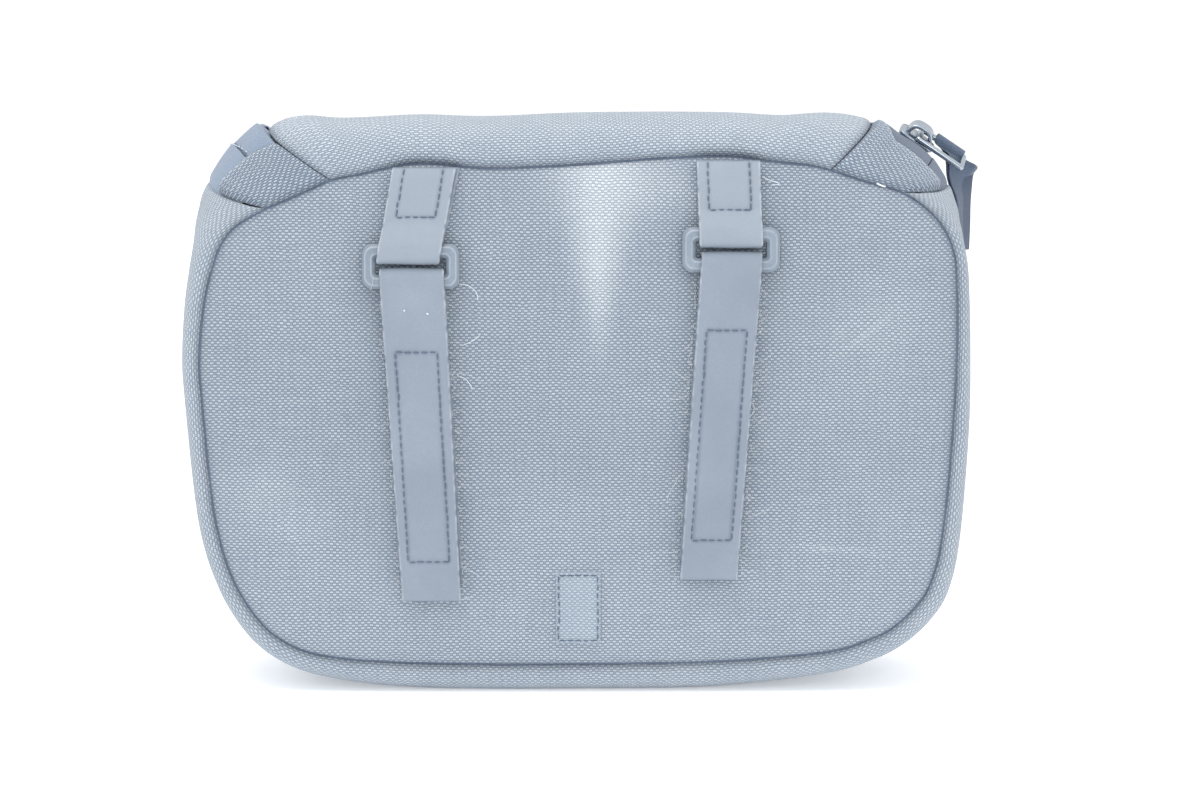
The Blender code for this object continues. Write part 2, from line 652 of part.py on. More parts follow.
def build():
    for old in list(bpy.data.objects):
        bpy.data.objects.remove(old)
    bag = new_collection("handlebar_bag")
    cutters = new_collection("cutters")
    nylon = material("coated_nylon", "#a4b0bc", 0.75)
    folded = material("folded_nylon", "#909fb0", 0.8)
    webbing = material("rubbery_webbing", "#a2aeba", 0.65)
    hook = material("hook_and_loop", "#7d8894", 0.95)
    plastic = material("moulded_plastic", "#8c99a7", 0.4)
    finishes = {
        "tape": material("zip_tape", "#a6b2c6", 0.7),
        "coil": material("zip_coil_plastic", "#8d9aaa", 0.4),
        "metal": material("plated_metal", "#c4c8cc", 0.3, 1.0),
        "ribbon": material("woven_ribbon", "#667788", 0.8),
    }

    right_low, right_high, left_high, left_low = TAB_SHARES

    def back_edge(share):
        return angle_at(share, -tape_half_width(share) - GAP)

    def front_edge(share):
        return angle_at(share, tape_half_width(share) + GAP)

    add_panel("back_panel", -1, BACK_DOME, bag, nylon)
    add_panel("front_panel", 1, FRONT_DOME, bag, nylon)
    add_band("side_gusset", left_low - 1, right_low, None, None, 10, bag, nylon)
    add_band("top_band_back", right_high, left_high, None, back_edge, 6, bag, nylon)
    add_band("top_band_front", right_low, left_low, front_edge, None, 6, bag, nylon)
    for name, start, end in (
        ("corner_tab_right", right_low, right_high),
        ("corner_tab_left", left_high, left_low),
    ):
        add_band(name, start, end, None, back_edge, 5, bag, folded, TAB_WALL, TAB_ABOVE_SKIN)
    add_zip(right_low, left_low, bag, cutters, finishes)
    for line in STRAP_LINES:
        add_fastening(line, bag, webbing, plastic, hook)
    add_patch(bag, nylon)


build()
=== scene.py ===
# %% [markdown]
# # A handlebar bag, dressed
#
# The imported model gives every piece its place. This script gives each piece its looks: woven
# nylon, rubbery webbing, moulded rings, stitches and lint. It starts with the frame.

# %% The frame
import math
from collections import namedtuple

import bpy
import numpy as np
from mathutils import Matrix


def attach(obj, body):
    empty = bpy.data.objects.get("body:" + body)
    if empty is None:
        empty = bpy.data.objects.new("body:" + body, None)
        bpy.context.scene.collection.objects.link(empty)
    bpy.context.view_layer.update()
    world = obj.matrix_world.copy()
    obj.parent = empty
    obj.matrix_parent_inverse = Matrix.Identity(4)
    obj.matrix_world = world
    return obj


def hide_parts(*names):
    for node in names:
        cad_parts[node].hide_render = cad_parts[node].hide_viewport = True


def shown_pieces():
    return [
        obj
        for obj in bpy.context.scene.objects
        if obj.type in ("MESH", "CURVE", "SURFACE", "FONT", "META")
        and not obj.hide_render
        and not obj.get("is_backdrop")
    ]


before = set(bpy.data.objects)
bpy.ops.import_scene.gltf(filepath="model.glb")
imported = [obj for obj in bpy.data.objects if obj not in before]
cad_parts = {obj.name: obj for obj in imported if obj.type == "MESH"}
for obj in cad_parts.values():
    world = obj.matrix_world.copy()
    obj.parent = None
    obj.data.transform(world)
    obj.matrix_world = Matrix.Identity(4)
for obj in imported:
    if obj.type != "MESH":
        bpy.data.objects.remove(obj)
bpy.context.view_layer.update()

# %% [markdown]
# ## The sizes
#
# These are the bag's own sizes in metres. Most are the same as in its CAD, and the zip's metal
# parts and its left end are set to what a close look shows. The seam table gives one row for
# each place on the seam that joins a panel to the gusset. across and up are shares of the
# seam's half width and height, rise and lean say how far the cloth puffs out past the seam
# there, and full is the exponent of its profile, from 2 for round to 4 for boxy.

# %% Sizes and the seam table
SEAM_WIDTH, SEAM_HEIGHT, SEAM_DEPTH, SEAM_ABOVE_FLOOR = 0.2417, 0.1632, 0.064, 0.0094
PUFF, ZIP_VALLEY, LEAN_POWER = 0.0175, 0.0025, 2.0
GAP, CLOTH_WALL, PANEL_WALL, SEAM_ALLOWANCE = 0.0003, 0.0018, 0.003, 0.0028
PANEL_LIP, PANEL_LIP_SHARE, BACK_DOME, FRONT_DOME = 0.0017, 0.035, 0.0025, 0.0075
TAPE_HALF_WIDTH, COIL_WIDTH, COIL_ABOVE_TAPE = 0.011, 0.006, 0.0006
CORNER_TAPE_HALF_WIDTH, TAPE_WIDENING = 0.0215, 0.6
ZIP_END_LEFT, ZIP_END_RIGHT = 0.0108, 0.006
TAB_ABOVE_SKIN = 0.0009
SLIDER_LENGTH, SLIDER_WIDTH, SLIDER_PLATE, SLIDER_FROM_END = 0.0130, 0.0100, 0.0015, 0.0055
CROWN_WIDTH, CROWN_THICKNESS, CROWN_LENGTH, CROWN_FOOT = 0.0056, 0.0013, 0.0078, 0.0002
SLIDER_ROLL_DEG, SLIDER_SUNK = 24.0, 0.0026
PULL_LENGTH, PULL_WIDTH, PULL_BAR = 0.0186, 0.0118, 0.0017
CROWN_HEIGHT = CROWN_FOOT + PULL_BAR + 3 * GAP + CROWN_THICKNESS
RIBBON_WIDTH, RIBBON_THICKNESS, RIBBON_BELOW_BAR = 0.0108, 0.0005, 0.034
STRAP_WIDTH, STRAP_THICKNESS = 0.0200, 0.0015
RING_WIDTH, RING_HEIGHT, RING_BAR, RING_THICKNESS = 0.0310, 0.0144, 0.0045, 0.0030
STRAP_SIDE_CLEARANCE, FOLD_ROOM, PAD_THICKNESS, PAD_WIDTH = 0.0012, 0.0014, 0.0016, 0.0160
PATCH_WIDTH, PATCH_HEIGHT, PATCH_THICKNESS, PATCH_UP = 0.0147, 0.0237, 0.0012, 0.116
FINE_STEPS = 1440

Place = namedtuple("Place", "across up rise lean full")
SEAM = [Place(*row) for row in (
    (0.00, 0.000, 0.62, 0.00, 4.0), (0.36, 0.005, 0.62, 0.00, 4.0), (0.65, 0.023, 0.55, 0.00, 4.0),
    (0.77, 0.047, 0.53, 0.00, 4.0), (0.84, 0.073, 0.52, 0.00, 4.0), (0.90, 0.115, 0.52, 0.00, 4.0),
    (0.94, 0.163, 0.49, 0.00, 4.0), (0.97, 0.262, 0.44, 0.00, 4.0), (0.993, 0.472, 0.40, 0.00, 4.0),
    (1.00, 0.633, 0.34, 0.00, 4.0), (0.996, 0.766, 0.31, 0.00, 4.0), (0.986, 0.818, 0.31, -0.02, 3.8),
    (0.961, 0.860, 0.40, -0.20, 3.2), (0.918, 0.897, 0.50, -0.55, 2.6), (0.848, 0.931, 0.62, -0.90, 2.2),
    (0.747, 0.953, 1.05, -0.85, 2.0), (0.628, 0.980, 1.08, -0.50, 2.4), (0.514, 0.990, 0.92, -0.15, 3.0),
    (0.390, 1.000, 0.85, 0.00, 3.2), (0.215, 0.996, 0.90, 0.00, 3.2), (0.003, 0.984, 1.00, 0.00, 3.2),
    (-0.235, 0.977, 1.00, 0.00, 3.2), (-0.420, 0.986, 0.95, 0.12, 3.0), (-0.574, 0.965, 1.17, 0.60, 2.4),
    (-0.645, 0.954, 1.38, 0.95, 2.1), (-0.738, 0.924, 1.42, 0.92, 2.0), (-0.840, 0.891, 0.95, 1.00, 2.2),
    (-0.907, 0.859, 0.76, 0.52, 2.8), (-0.944, 0.820, 0.60, 0.20, 3.4), (-0.973, 0.754, 0.50, 0.00, 4.0),
    (-0.989, 0.693, 0.46, 0.00, 4.0), (-1.000, 0.604, 0.43, 0.00, 4.0), (-0.996, 0.532, 0.43, 0.00, 4.0),
    (-0.975, 0.345, 0.43, 0.00, 4.0), (-0.955, 0.252, 0.44, 0.00, 4.0), (-0.926, 0.180, 0.44, 0.00, 4.0),
    (-0.885, 0.120, 0.46, 0.00, 4.0), (-0.825, 0.065, 0.48, 0.00, 4.0), (-0.743, 0.029, 0.51, 0.00, 4.0),
    (-0.640, 0.012, 0.55, 0.00, 4.0), (-0.500, 0.004, 0.60, 0.00, 4.0), (-0.310, 0.000, 0.62, 0.00, 4.0),
)]
TAB_SPOTS = ((0.848, 0.931), (0.660, 0.972), (-0.645, 0.954), (-0.818, 0.898))
# Where the stuffed cloth lies off the table's shape: across, up, rise, lean, reach
SETTLED = (
    (-0.070, 0.166, 0.0012, 0.0, 0.011),
    (-0.1015, 0.1548, -0.0003, -0.0018, 0.012),
    (0.0815, 0.168, 0.0015, 0.0, 0.0065),
)

# %% [markdown]
# ## The seam line and the cloth round it
#
# On the real bag one seam runs round each panel. Here it is one smooth closed curve through
# the table's rows, and the cloth between the two panels is a superellipse drawn from the back
# seam to the front seam. Both are functions, so that every piece of cloth follows them.

# %% The seam and the skin
def seam_curve():
    """A periodic Catmull-Rom curve through the rows of the seam table, at even steps of its
    length, with its directions."""
    rows = np.array([list(place) for place in SEAM])
    rows[:, 0] *= SEAM_WIDTH / 2
    rows[:, 1] = SEAM_ABOVE_FLOOR + rows[:, 1] * SEAM_HEIGHT
    a, b, c, d = np.roll(rows, 1, 0), rows, np.roll(rows, -1, 0), np.roll(rows, -2, 0)
    t = (np.arange(40) / 40)[None, :, None]
    a, b, c, d = a[:, None], b[:, None], c[:, None], d[:, None]
    curve = 0.5 * (2 * b + (c - a) * t + (2 * a - 5 * b + 4 * c - d) * t**2 + (3 * b - a - 3 * c + d) * t**3)
    curve = curve.reshape(-1, 5)
    closed = np.vstack([curve, curve[:1]])
    length = np.concatenate([[0], np.cumsum(np.hypot(*np.diff(closed[:, :2], axis=0).T))])
    even = np.linspace(0, length[-1], FINE_STEPS, endpoint=False)
    fine = np.stack([np.interp(even, length, column) for column in closed.T], 1)
    along = np.roll(fine[:, :2], -6, 0) - np.roll(fine[:, :2], 6, 0)
    return fine, along / np.hypot(*along.T)[:, None], length[-1]


FINE, ALONG, SEAM_LENGTH = seam_curve()


def seam(share):
    """Place, outward normal, tangent, rise, lean and fullness at shares of the seam's length."""
    columns = np.hstack([FINE, ALONG])
    columns = np.vstack([columns, columns[:1]])
    spot = np.mod(share, 1.0) * FINE_STEPS
    at = np.stack([np.interp(spot, np.arange(FINE_STEPS + 1), column) for column in columns.T], -1)
    tangent = at[..., 5:7] / np.linalg.norm(at[..., 5:7], axis=-1, keepdims=True)
    normal = np.stack([tangent[..., 1], -tangent[..., 0]], -1)
    return at[..., :2], normal, tangent, at[..., 2] * PUFF, at[..., 3] * PUFF, at[..., 4]


def share_at(spot):
    """The share of the seam's length where it passes closest to a spot of the table's kind."""
    place = np.array([spot[0] * SEAM_WIDTH / 2, SEAM_ABOVE_FLOOR + spot[1] * SEAM_HEIGHT])
    return float(np.argmin(np.hypot(*(FINE[:, :2] - place).T))) / FINE_STEPS


def skin(share, angle, above=0.0):
    """The cloth between the panels: across = cos(angle)^(2/full) of the half depth, and
    height = sin(angle)^(2/full) of the rise, with a valley along the zip. The floor
    flattens it."""
    place, normal, tangent, rise, lean, full = seam(share)
    cosine, sine = np.cos(angle), np.clip(np.sin(angle), 0, 1)
    across = np.sign(cosine) * np.abs(cosine) ** (2 / full)
    height = sine ** (2 / full)
    top = np.clip((place[..., 1] - SEAM_ABOVE_FLOOR) / SEAM_HEIGHT - 0.94, 0, 0.03) / 0.03
    boxy = np.clip(full - 2.4, 0, 0.6) / 0.6
    valley = ZIP_VALLEY * top * boxy * np.exp(-((across / 0.3) ** 2))
    for x, z, raised, leaning, reach in SETTLED:
        near = np.exp(-np.sum((place - (x, z)) ** 2, -1) / reach**2)
        rise, lean = rise + raised * near, lean + leaning * near
    out = GAP / 2 + rise * height - valley + above * np.minimum(1, 4 * height)
    flat = place + normal * out[..., None] + tangent * (lean * height**LEAN_POWER)[..., None]
    return np.stack([flat[..., 0], -SEAM_DEPTH / 2 * across, np.maximum(flat[..., 1], 0.0)], -1)


def angle_at(share, y):
    """The profile angle at which the cloth stands y metres from the middle plane."""
    across = np.clip(-y / (SEAM_DEPTH / 2), -1, 1)
    return np.arccos(np.sign(across) * np.abs(across) ** (seam(share)[5] / 2))


TAB_SHARES = [share_at(spot) for spot in TAB_SPOTS]
RIGHT_LOW, RIGHT_HIGH, LEFT_HIGH, LEFT_LOW = TAB_SHARES
print("seam length in mm:", round(SEAM_LENGTH * 1000, 1))

# %% [markdown]
# ## One mesh maker
#
# Every piece is a set of points with faces between them. The maker below takes whole arrays,
# and a flat place in metres for each corner of a face. That flat place is the UV map, so a
# weave keeps its real thread size on any piece.

# %% Meshes from arrays
def place_mesh(name, points, faces, metres, finish, slot, stands_for=(), marks=None):
    """One mesh object. faces is a list of (n x corners) index arrays and metres a list of
    matching (n x corners x 2) flat places. marks are named numbers, one for each point."""
    corners = np.concatenate([each.ravel() for each in faces]).astype(np.int32)
    sizes = np.concatenate([np.full(len(each), each.shape[1]) for each in faces])
    starts = np.concatenate([[0], np.cumsum(sizes)[:-1]]).astype(np.int32)
    mesh = bpy.data.meshes.new(name)
    mesh.vertices.add(len(points))
    mesh.vertices.foreach_set("co", np.asarray(points, np.float32).ravel())
    mesh.loops.add(len(corners))
    mesh.loops.foreach_set("vertex_index", corners)
    mesh.polygons.add(len(sizes))
    mesh.polygons.foreach_set("loop_start", starts)
    mesh.update(calc_edges=True)
    flat = np.concatenate([each.reshape(-1, 2) for each in metres]).astype(np.float32)
    mesh.uv_layers.new(name="cloth").data.foreach_set("uv", flat.ravel())
    for mark, numbers in (marks or {}).items():
        layer = mesh.attributes.new(mark, "FLOAT", "POINT")
        layer.data.foreach_set("value", np.asarray(numbers, np.float32).ravel())
    mesh.shade_smooth()
    made = bpy.data.objects.new(name, mesh)
    bpy.context.scene.collection.objects.link(made)
    mesh.materials.append(finish)
    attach(made, "root")
    if stands_for:
        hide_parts(*stands_for)
    return made


def grid_faces(rows, columns, wrap=(False, False), flip=False):
    """The quads of a grid, and for each corner its row and column before wrapping."""
    r, c = np.meshgrid(np.arange(rows - 1 + wrap[0]), np.arange(columns - 1 + wrap[1]), indexing="ij")
    r, c = r.ravel(), c.ravel()
    row = np.stack([r, r, r + 1, r + 1], 1)
    column = np.stack([c, c + 1, c + 1, c], 1)
    if flip:
        row, column = row[:, ::-1], column[:, ::-1]
    return (row % rows) * columns + column % columns, row, column


def wall(piece, thickness, offset=-1.0):
    """Gives a sheet its thickness, inwards."""
    shell = piece.modifiers.new("wall", "SOLIDIFY")
    shell.thickness = thickness
    shell.offset = offset
    return piece


def triangles():
    """How many triangles all the pieces have so far."""
    return sum(len(p.vertices) - 2 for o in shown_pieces() if o.type == "MESH" for p in o.data.polygons)


# %% [markdown]
# ## The materials
#
# Colours are written as the screen shows them, and one function turns them linear. One small
# helper adds a node and joins its inputs. The main finish is the coarse plain-woven nylon. Its
# threads lie 0.98 mm apart across and 0.86 mm apart up. A cosine along each row, turned over
# from row to row, is high where a weft thread lies on top and low where a warp thread does.

# %% Colour and node helpers
def linear(code):
    """A colour as the screen shows it, turned into Blender's linear values."""
    shown = np.array([int(code[i:i + 2], 16) / 255 for i in (1, 3, 5)])
    return (*np.where(shown <= 0.04045, shown / 12.92, ((shown + 0.055) / 1.055) ** 2.4), 1.0)


def add(tree, kind, inputs=None, **settings):
    """Adds a node. inputs are values, another node's output, or a node for its first output,
    by socket."""
    node = tree.nodes.new("ShaderNode" + kind)
    for setting, value in settings.items():
        setattr(node, setting, value)
    for socket, value in (inputs or {}).items():
        if isinstance(value, bpy.types.Node):
            value = value.outputs[0]
        if isinstance(value, bpy.types.NodeSocket):
            tree.links.new(value, node.inputs[socket])
        else:
            node.inputs[socket].default_value = value
    return node


def new_finish(name, roughness, metallic=0.0, specular=0.5, sheen=0.0):
    """An empty finish: its tree and its shader, with the shader's own numbers set."""
    made = bpy.data.materials.new(name)
    made.use_nodes = True
    shader = made.node_tree.nodes["Principled BSDF"]
    shader.inputs["Roughness"].default_value = roughness
    shader.inputs["Metallic"].default_value = metallic
    if metallic == 0.0:
        shader.inputs["Specular IOR Level"].default_value = specular
    shader.inputs["Sheen Weight"].default_value = sheen
    shader.inputs["Sheen Roughness"].default_value = 0.6
    return made, made.node_tree, shader


def marked(tree, colour, wear, worn_and_lit, shaded):
    """A colour mixed pale by the marked wear and painted highlights, then dark by the marked painted shade.
    """
    colour = add(tree, "Mix", {0: wear, 6: colour, 7: linear(worn_and_lit)}, data_type="RGBA")
    shade = add(tree, "Attribute", attribute_name="shade").outputs["Fac"]
    colour = add(tree, "Mix", {0: shade, 6: colour.outputs[2], 7: linear(shaded)}, data_type="RGBA")
    return colour.outputs[2]


# %% Woven cloth
def woven(name, warp, weft, dark, mid, light, depth, wander=0.18, roughness=0.8, slub=0.6, dust=0.1,
          under=0.45):
    """Plain-woven cloth. With a = cos(pi u / warp) and b = cos(pi v / weft), p = a * sign(b)
    is high where a weft thread lies on top. There its height is |b|^0.75, and elsewhere the
    warp's crowns are |a| times under. u and v are the cloth's own metres, shaken a little by
    noise. dark, mid and light colour the gaps, the threads and their crowns."""
    made, tree, shader = new_finish(name, roughness, specular=0.3, sheen=0.15)
    flat = add(tree, "UVMap", uv_map="cloth")
    shake = add(tree, "TexNoise", {"Vector": flat, "Scale": 0.12 / warp, "Detail": 1.0},
                noise_dimensions="2D")
    drift = add(tree, "VectorMath", {0: shake.outputs["Color"], 1: (0.5, 0.5, 0.5)}, operation="SUBTRACT")
    drift = add(tree, "VectorMath", {0: drift, "Scale": wander * warp * 6}, operation="SCALE")
    moved = add(tree, "VectorMath", {0: flat, 1: drift}, operation="ADD")
    turns = add(tree, "VectorMath", {0: moved, 1: (math.pi / warp, math.pi / weft, 0)},
                operation="MULTIPLY")
    split = add(tree, "SeparateXYZ", {0: turns})
    cos_u = add(tree, "Math", {0: split}, operation="COSINE")
    cos_v = add(tree, "Math", {0: split.outputs[1]}, operation="COSINE")
    row = add(tree, "Math", {0: cos_v}, operation="SIGN")
    cross = add(tree, "Math", {0: cos_u, 1: row}, operation="MULTIPLY")
    over = add(tree, "MapRange", {0: cross, 1: -0.60, 2: 0.30, 3: 0.0, 4: 1.0},
               interpolation_type="SMOOTHSTEP")
    high = add(tree, "Math", {0: cos_v}, operation="ABSOLUTE")
    high = add(tree, "Math", {0: high, 1: 0.75}, operation="POWER")
    weft_crown = add(tree, "Math", {0: over, 1: high}, operation="MULTIPLY")
    warp_crown = add(tree, "MapRange", {0: cross, 1: -0.15, 2: -0.95, 3: 0.0, 4: under},
                     interpolation_type="SMOOTHSTEP")
    warp_crown = add(tree, "Math", {0: warp_crown, 1: high}, operation="MULTIPLY")
    height = add(tree, "Math", {0: weft_crown, 1: warp_crown}, operation="MAXIMUM")

    def threads(stretch, seed):
        along = add(tree, "VectorMath", {0: flat, 1: stretch}, operation="MULTIPLY")
        return add(tree, "TexNoise", {"Vector": along, "W": seed, "Scale": 1.0, "Detail": 2.0},
                   noise_dimensions="4D")

    rows = threads((60.0, 1.1 / weft, 0), 1.0)
    columns = threads((1.1 / warp, 60.0, 0), 2.0)
    grain = threads((0.9 / warp, 0.9 / weft, 0), 3.0)
    both = add(tree, "Math", {0: rows, 1: columns}, operation="ADD")
    uneven = add(tree, "Math", {0: both, 1: grain}, operation="ADD")
    uneven = add(tree, "MapRange", {0: uneven, 1: 1.2, 2: 1.8, 3: 1 - slub / 2, 4: 1 + slub / 2})
    lifted = add(tree, "Math", {0: height, 1: uneven}, operation="MULTIPLY")
    # Painted shade in the gaps and painted highlights on the crowns, over the threads' own colour.
    ramp = add(tree, "ValToRGB", {0: lifted})
    ramp.color_ramp.elements[0].color = linear(dark)
    ramp.color_ramp.elements[1].color = linear(light)
    ramp.color_ramp.elements.new(0.5).color = linear(mid)
    place = add(tree, "TexCoord").outputs["Object"]
    cloud = add(tree, "TexNoise", {"Vector": place, "Scale": 34.0, "Detail": 5.0, "Roughness": 0.6})
    cloud = add(tree, "MapRange", {0: cloud, 1: 0.3, 2: 0.75, 3: 0.0, 4: dust})
    # Dust, the marked wear and the painted highlights make the crowns paler.
    worn_and_lit = add(tree, "Attribute", attribute_name="wear").outputs["Fac"]
    pale = add(tree, "Math", {0: cloud, 1: worn_and_lit}, operation="ADD", use_clamp=True)
    raised = add(tree, "MapRange", {0: lifted, 1: 0.1, 2: 0.7, 3: 0.3, 4: 1.0})
    pale = add(tree, "Math", {0: pale, 1: raised}, operation="MULTIPLY")
    bump = add(tree, "Bump", {"Strength": 1.0, "Distance": depth, "Height": lifted})
    tree.links.new(marked(tree, ramp, pale, "#e4ebf0", "#3a475c"), shader.inputs["Base Color"])
    tree.links.new(bump.outputs[0], shader.inputs["Normal"])
    return made


NYLON = woven("plain_woven_coated_nylon", 0.00098, 0.000857, "#637183", "#97a3b0", "#bbc5ce", 0.00028)
TAB_NYLON = woven("nylon_folded_double", 0.00104, 0.00092, "#4b5a6f", "#8c9bac", "#b8c3cd", 0.00038,
                  dust=0.05)
TAPE = woven("fine_woven_zip_tape", 0.00042, 0.00042, "#74839a", "#8e9db1", "#a2b0c1", 0.00008,
             slub=0.4, dust=0.05)
PATCH_CLOTH = woven("tightly_stretched_nylon", 0.00090, 0.00080, "#7a8899", "#97a4b0", "#b1bbc5", 0.00014)

# %% [markdown]
# ## The panels
#
# A panel is cloth over thin foam, a little domed, and it rounds over to the seam. Rings that
# shrink from the seam to the middle follow its outline exactly. Small dents and the pale worn
# ridge under the top seam are added as smooth hills, so that the straps still lie on it.

# %% Panel shape
MIDDLE = np.array([0.0, SEAM_ABOVE_FLOOR + SEAM_HEIGHT / 2])


def hill(x, z, at, size, turn=0.0):
    """exp(-(p^2 + q^2)) with p and q the distances from a place along two turned axes,
    as shares of size. at and size are in millimetres."""
    dx, dz = x * 1000 - at[0], z * 1000 - at[1]
    c, s = math.cos(math.radians(turn)), math.sin(math.radians(turn))
    return np.exp(-((dx * c + dz * s) / size[0]) ** 2 - ((dz * c - dx * s) / size[1]) ** 2)


def ripple(x, z, seed):
    """A sum of six sine waves in mixed directions, from about -1 to 1."""
    random = np.random.default_rng(seed)
    total = np.zeros(np.broadcast(x, z).shape)
    for pitch in (0.09, 0.07, 0.052, 0.038, 0.028, 0.02):
        turn, start = random.uniform(0, math.tau, 2)
        wave = (x * math.cos(turn) + z * math.sin(turn)) / pitch * math.tau + start
        total += np.sin(wave) * pitch / 0.15
    return total


def panel_bulge(reach, dome):
    """How far a panel stands out past its seam at a share of the way to the seam."""
    edge = np.clip((reach - 1 + PANEL_LIP_SHARE) / PANEL_LIP_SHARE, 0, 1)
    return PANEL_LIP * np.sqrt(1 - edge**2) + dome * (1 - np.minimum(reach, 1) ** 2)


def back_relief(x, z):
    """The back panel's own small hills and dents, in metres."""
    ridge = 0.0010 * hill(x, z, (6.5, 150), (6, 26)) + 0.0005 * hill(x, z, (7, 172), (26, 9))
    dents = 0.0009 * hill(x, z, (-78, 60), (20, 9), 20) + 0.0007 * hill(x, z, (88, 112), (18, 22), -30)
    return ridge - dents + 0.00022 * ripple(x, z, 4)


def front_relief(x, z):
    return 0.0006 * ripple(x, z, 9)


def worn_back(x, z):
    """Where the cloth has gone pale: the streak under the top seam and a few smudges."""
    spread = 4.0 + 11.0 * np.clip((z * 1000 - 118) / 54, 0, 1) ** 1.5
    streak = 0.72 * np.exp(-(((x * 1000 - 6.6) / spread) ** 2)) * np.clip((z * 1000 - 104) / 34, 0, 1)
    streak = streak + 0.24 * hill(x, z, (24, 163), (16, 8))
    smudge = 0.16 * hill(x, z, (-100, 66), (12, 10), 30) + 0.12 * hill(x, z, (-88, 56), (10, 8))
    smudge = smudge + 0.13 * hill(x, z, (99, 122), (16, 12), 20) + 0.06 * hill(x, z, (80, 100), (30, 30))
    scuff = 0.5 * hill(x, z, (80, 47.5), (9, 0.5), -4) + 0.35 * hill(x, z, (94, 46), (5, 0.4), -8)
    folds = 0.30 * hill(x, z, (91, 116), (10, 0.7), 38) + 0.25 * hill(x, z, (84, 120), (5, 0.5), 80)
    return streak + smudge + scuff + folds


def worn_front(x, z):
    return 0.1 * hill(x, z, (20, 60), (60, 30))


def panel(name, side, dome, relief, worn_and_lit, finish):
    """A panel: rings at shares of the way from the middle to the seam, then the turned-in
    seam allowance, closed by one fan of triangles."""
    columns = 560
    place, normal = seam(np.arange(columns) / columns)[:2]
    rim = place - normal * GAP / 2
    lip = np.cos(np.linspace(0, math.pi / 2, 9))
    reach = np.concatenate([1 - PANEL_LIP_SHARE + PANEL_LIP_SHARE * lip[:-1],
                            np.linspace(1 - PANEL_LIP_SHARE, 0.02, 46)])
    flat = MIDDLE + (rim - MIDDLE) * reach[:, None, None]
    fade = np.clip((1 - reach) / (1.5 * PANEL_LIP_SHARE), 0, 1)[:, None]
    depth = panel_bulge(reach, dome)[:, None] + relief(flat[..., 0], flat[..., 1]) * fade
    rings = np.stack([flat[..., 0], side * (SEAM_DEPTH / 2 + depth), flat[..., 1]], -1)
    skirt = rings[:1].copy()
    skirt[..., 1] = side * (SEAM_DEPTH / 2 - SEAM_ALLOWANCE)
    points = np.concatenate([skirt, rings]).reshape(-1, 3)
    hub = np.array([[0, side * (SEAM_DEPTH / 2 + panel_bulge(0, dome) + relief(*MIDDLE)), MIDDLE[1]]])
    points = np.concatenate([points, hub])
    rows = len(reach) + 1
    quads = grid_faces(rows, columns, (False, True), flip=side > 0)[0]
    last = (rows - 1) * columns + np.arange(columns)
    fan = np.stack([last, np.roll(last, -1), np.full(columns, len(points) - 1)], 1)
    if side > 0:
        fan = fan[:, ::-1]
    flat_place = points[:, [0, 2]]
    wear = worn_and_lit(points[:, 0], points[:, 2])
    from_seam = np.concatenate([np.zeros(columns), np.repeat(1 - reach, columns), [1]])
    # Painted shade: darker beside the seam, and darker from 30 mm to 80 mm up, so that the panel's lower
    # part looks lit from the floor.
    high = np.clip((points[:, 2] - 0.03) / 0.05, 0, 1)
    shade = 0.3 * np.exp(-from_seam / 0.010) + 0.11 * high
    made = place_mesh(name, points, [quads, fan], [flat_place[quads], flat_place[fan]], finish,
                      "coated_nylon", [name], {"wear": wear, "shade": shade})
    return wall(made, PANEL_WALL)


back = panel("back_panel", -1, BACK_DOME, back_relief, worn_back, NYLON)
front = panel("front_panel", 1, FRONT_DOME, front_relief, worn_front, NYLON)
print("panels:", triangles(), "triangles")

# %% [markdown]
# ## The gusset and the top bands
#
# The cloth between the panels is one grid: columns along the seam, rows over the profile. Its
# rows start with the turned-in seam allowance, which makes the dark groove of a real seam, and
# painted shade darkens the cloth beside its seams.

# %% Bands of the skin
def along_rows(points):
    """The length from the first row down to each row, column by column."""
    steps = np.linalg.norm(np.diff(points, axis=0), axis=-1)
    return np.concatenate([np.zeros((1, points.shape[1])), np.cumsum(steps, 0)])


def allowance(share, side):
    """The seam allowance turned in along a panel's seam."""
    place, normal = seam(share)[:2]
    flat = place + normal * GAP / 2
    y = side * (SEAM_DEPTH / 2 - SEAM_ALLOWANCE) * np.ones(len(flat))
    return np.stack([flat[:, 0], y, flat[:, 1]], -1)


ROLL, ROLL_REACH = 0.0015, 0.0026
SEAM_SHADE, SEAM_SHADE_REACH = 0.42, 0.0016


def straight_share(share, angle):
    """Shares shifted by lean * (h - h^2), with h the profile's height. On the leaning skin
    that turns a bowed cross seam into a straight one."""
    lean, full = seam(share)[4:]
    height = np.clip(np.sin(angle), 0, 1) ** (2 / full)
    return share + 0.9 * lean * (height - height**2) / SEAM_LENGTH


def seam_steps(start, end, gap, step):
    """Shares between two cross seams, half a gap in from each and finer beside them."""
    length = (end - start) * SEAM_LENGTH
    fine = np.array([0, 0.2, 0.4, 0.65, 1.0, 1.5, 2.2]) / 1000 + gap / 2
    inner = np.linspace(fine[-1], length - fine[-1], max(6, round(length / step)))[1:-1]
    return start + np.concatenate([fine, inner, length - fine[::-1]]) / SEAM_LENGTH


def beside_ends(share, start, end, reach=0.0008):
    """1 at the cross seams at both ends, falling to 0 over the reach."""
    near = np.minimum(share - start, end - share) * SEAM_LENGTH
    return np.exp(-((near / reach) ** 2))


def rolled(from_seam, share, start, end):
    """How far cloth stands out beside a panel's seam: ROLL * (d / reach) * exp(1 - d / reach),
    and a quarter of that at the cross seams."""
    height = ROLL * (1 - 0.75 * beside_ends(share, start, end, 0.0016))
    return height * (from_seam / ROLL_REACH) * np.exp(1 - from_seam / ROLL_REACH)


def even(much):
    """A mark that is the same all over a piece."""
    return lambda rows: np.full(rows.shape[:2], much)


def painted_top_light(rows):
    """Painted light from above: cloth made paler along the bag's top, from 172 mm up."""
    return 0.2 * np.clip((rows[..., 2] - 0.172) / 0.01, 0, 1)


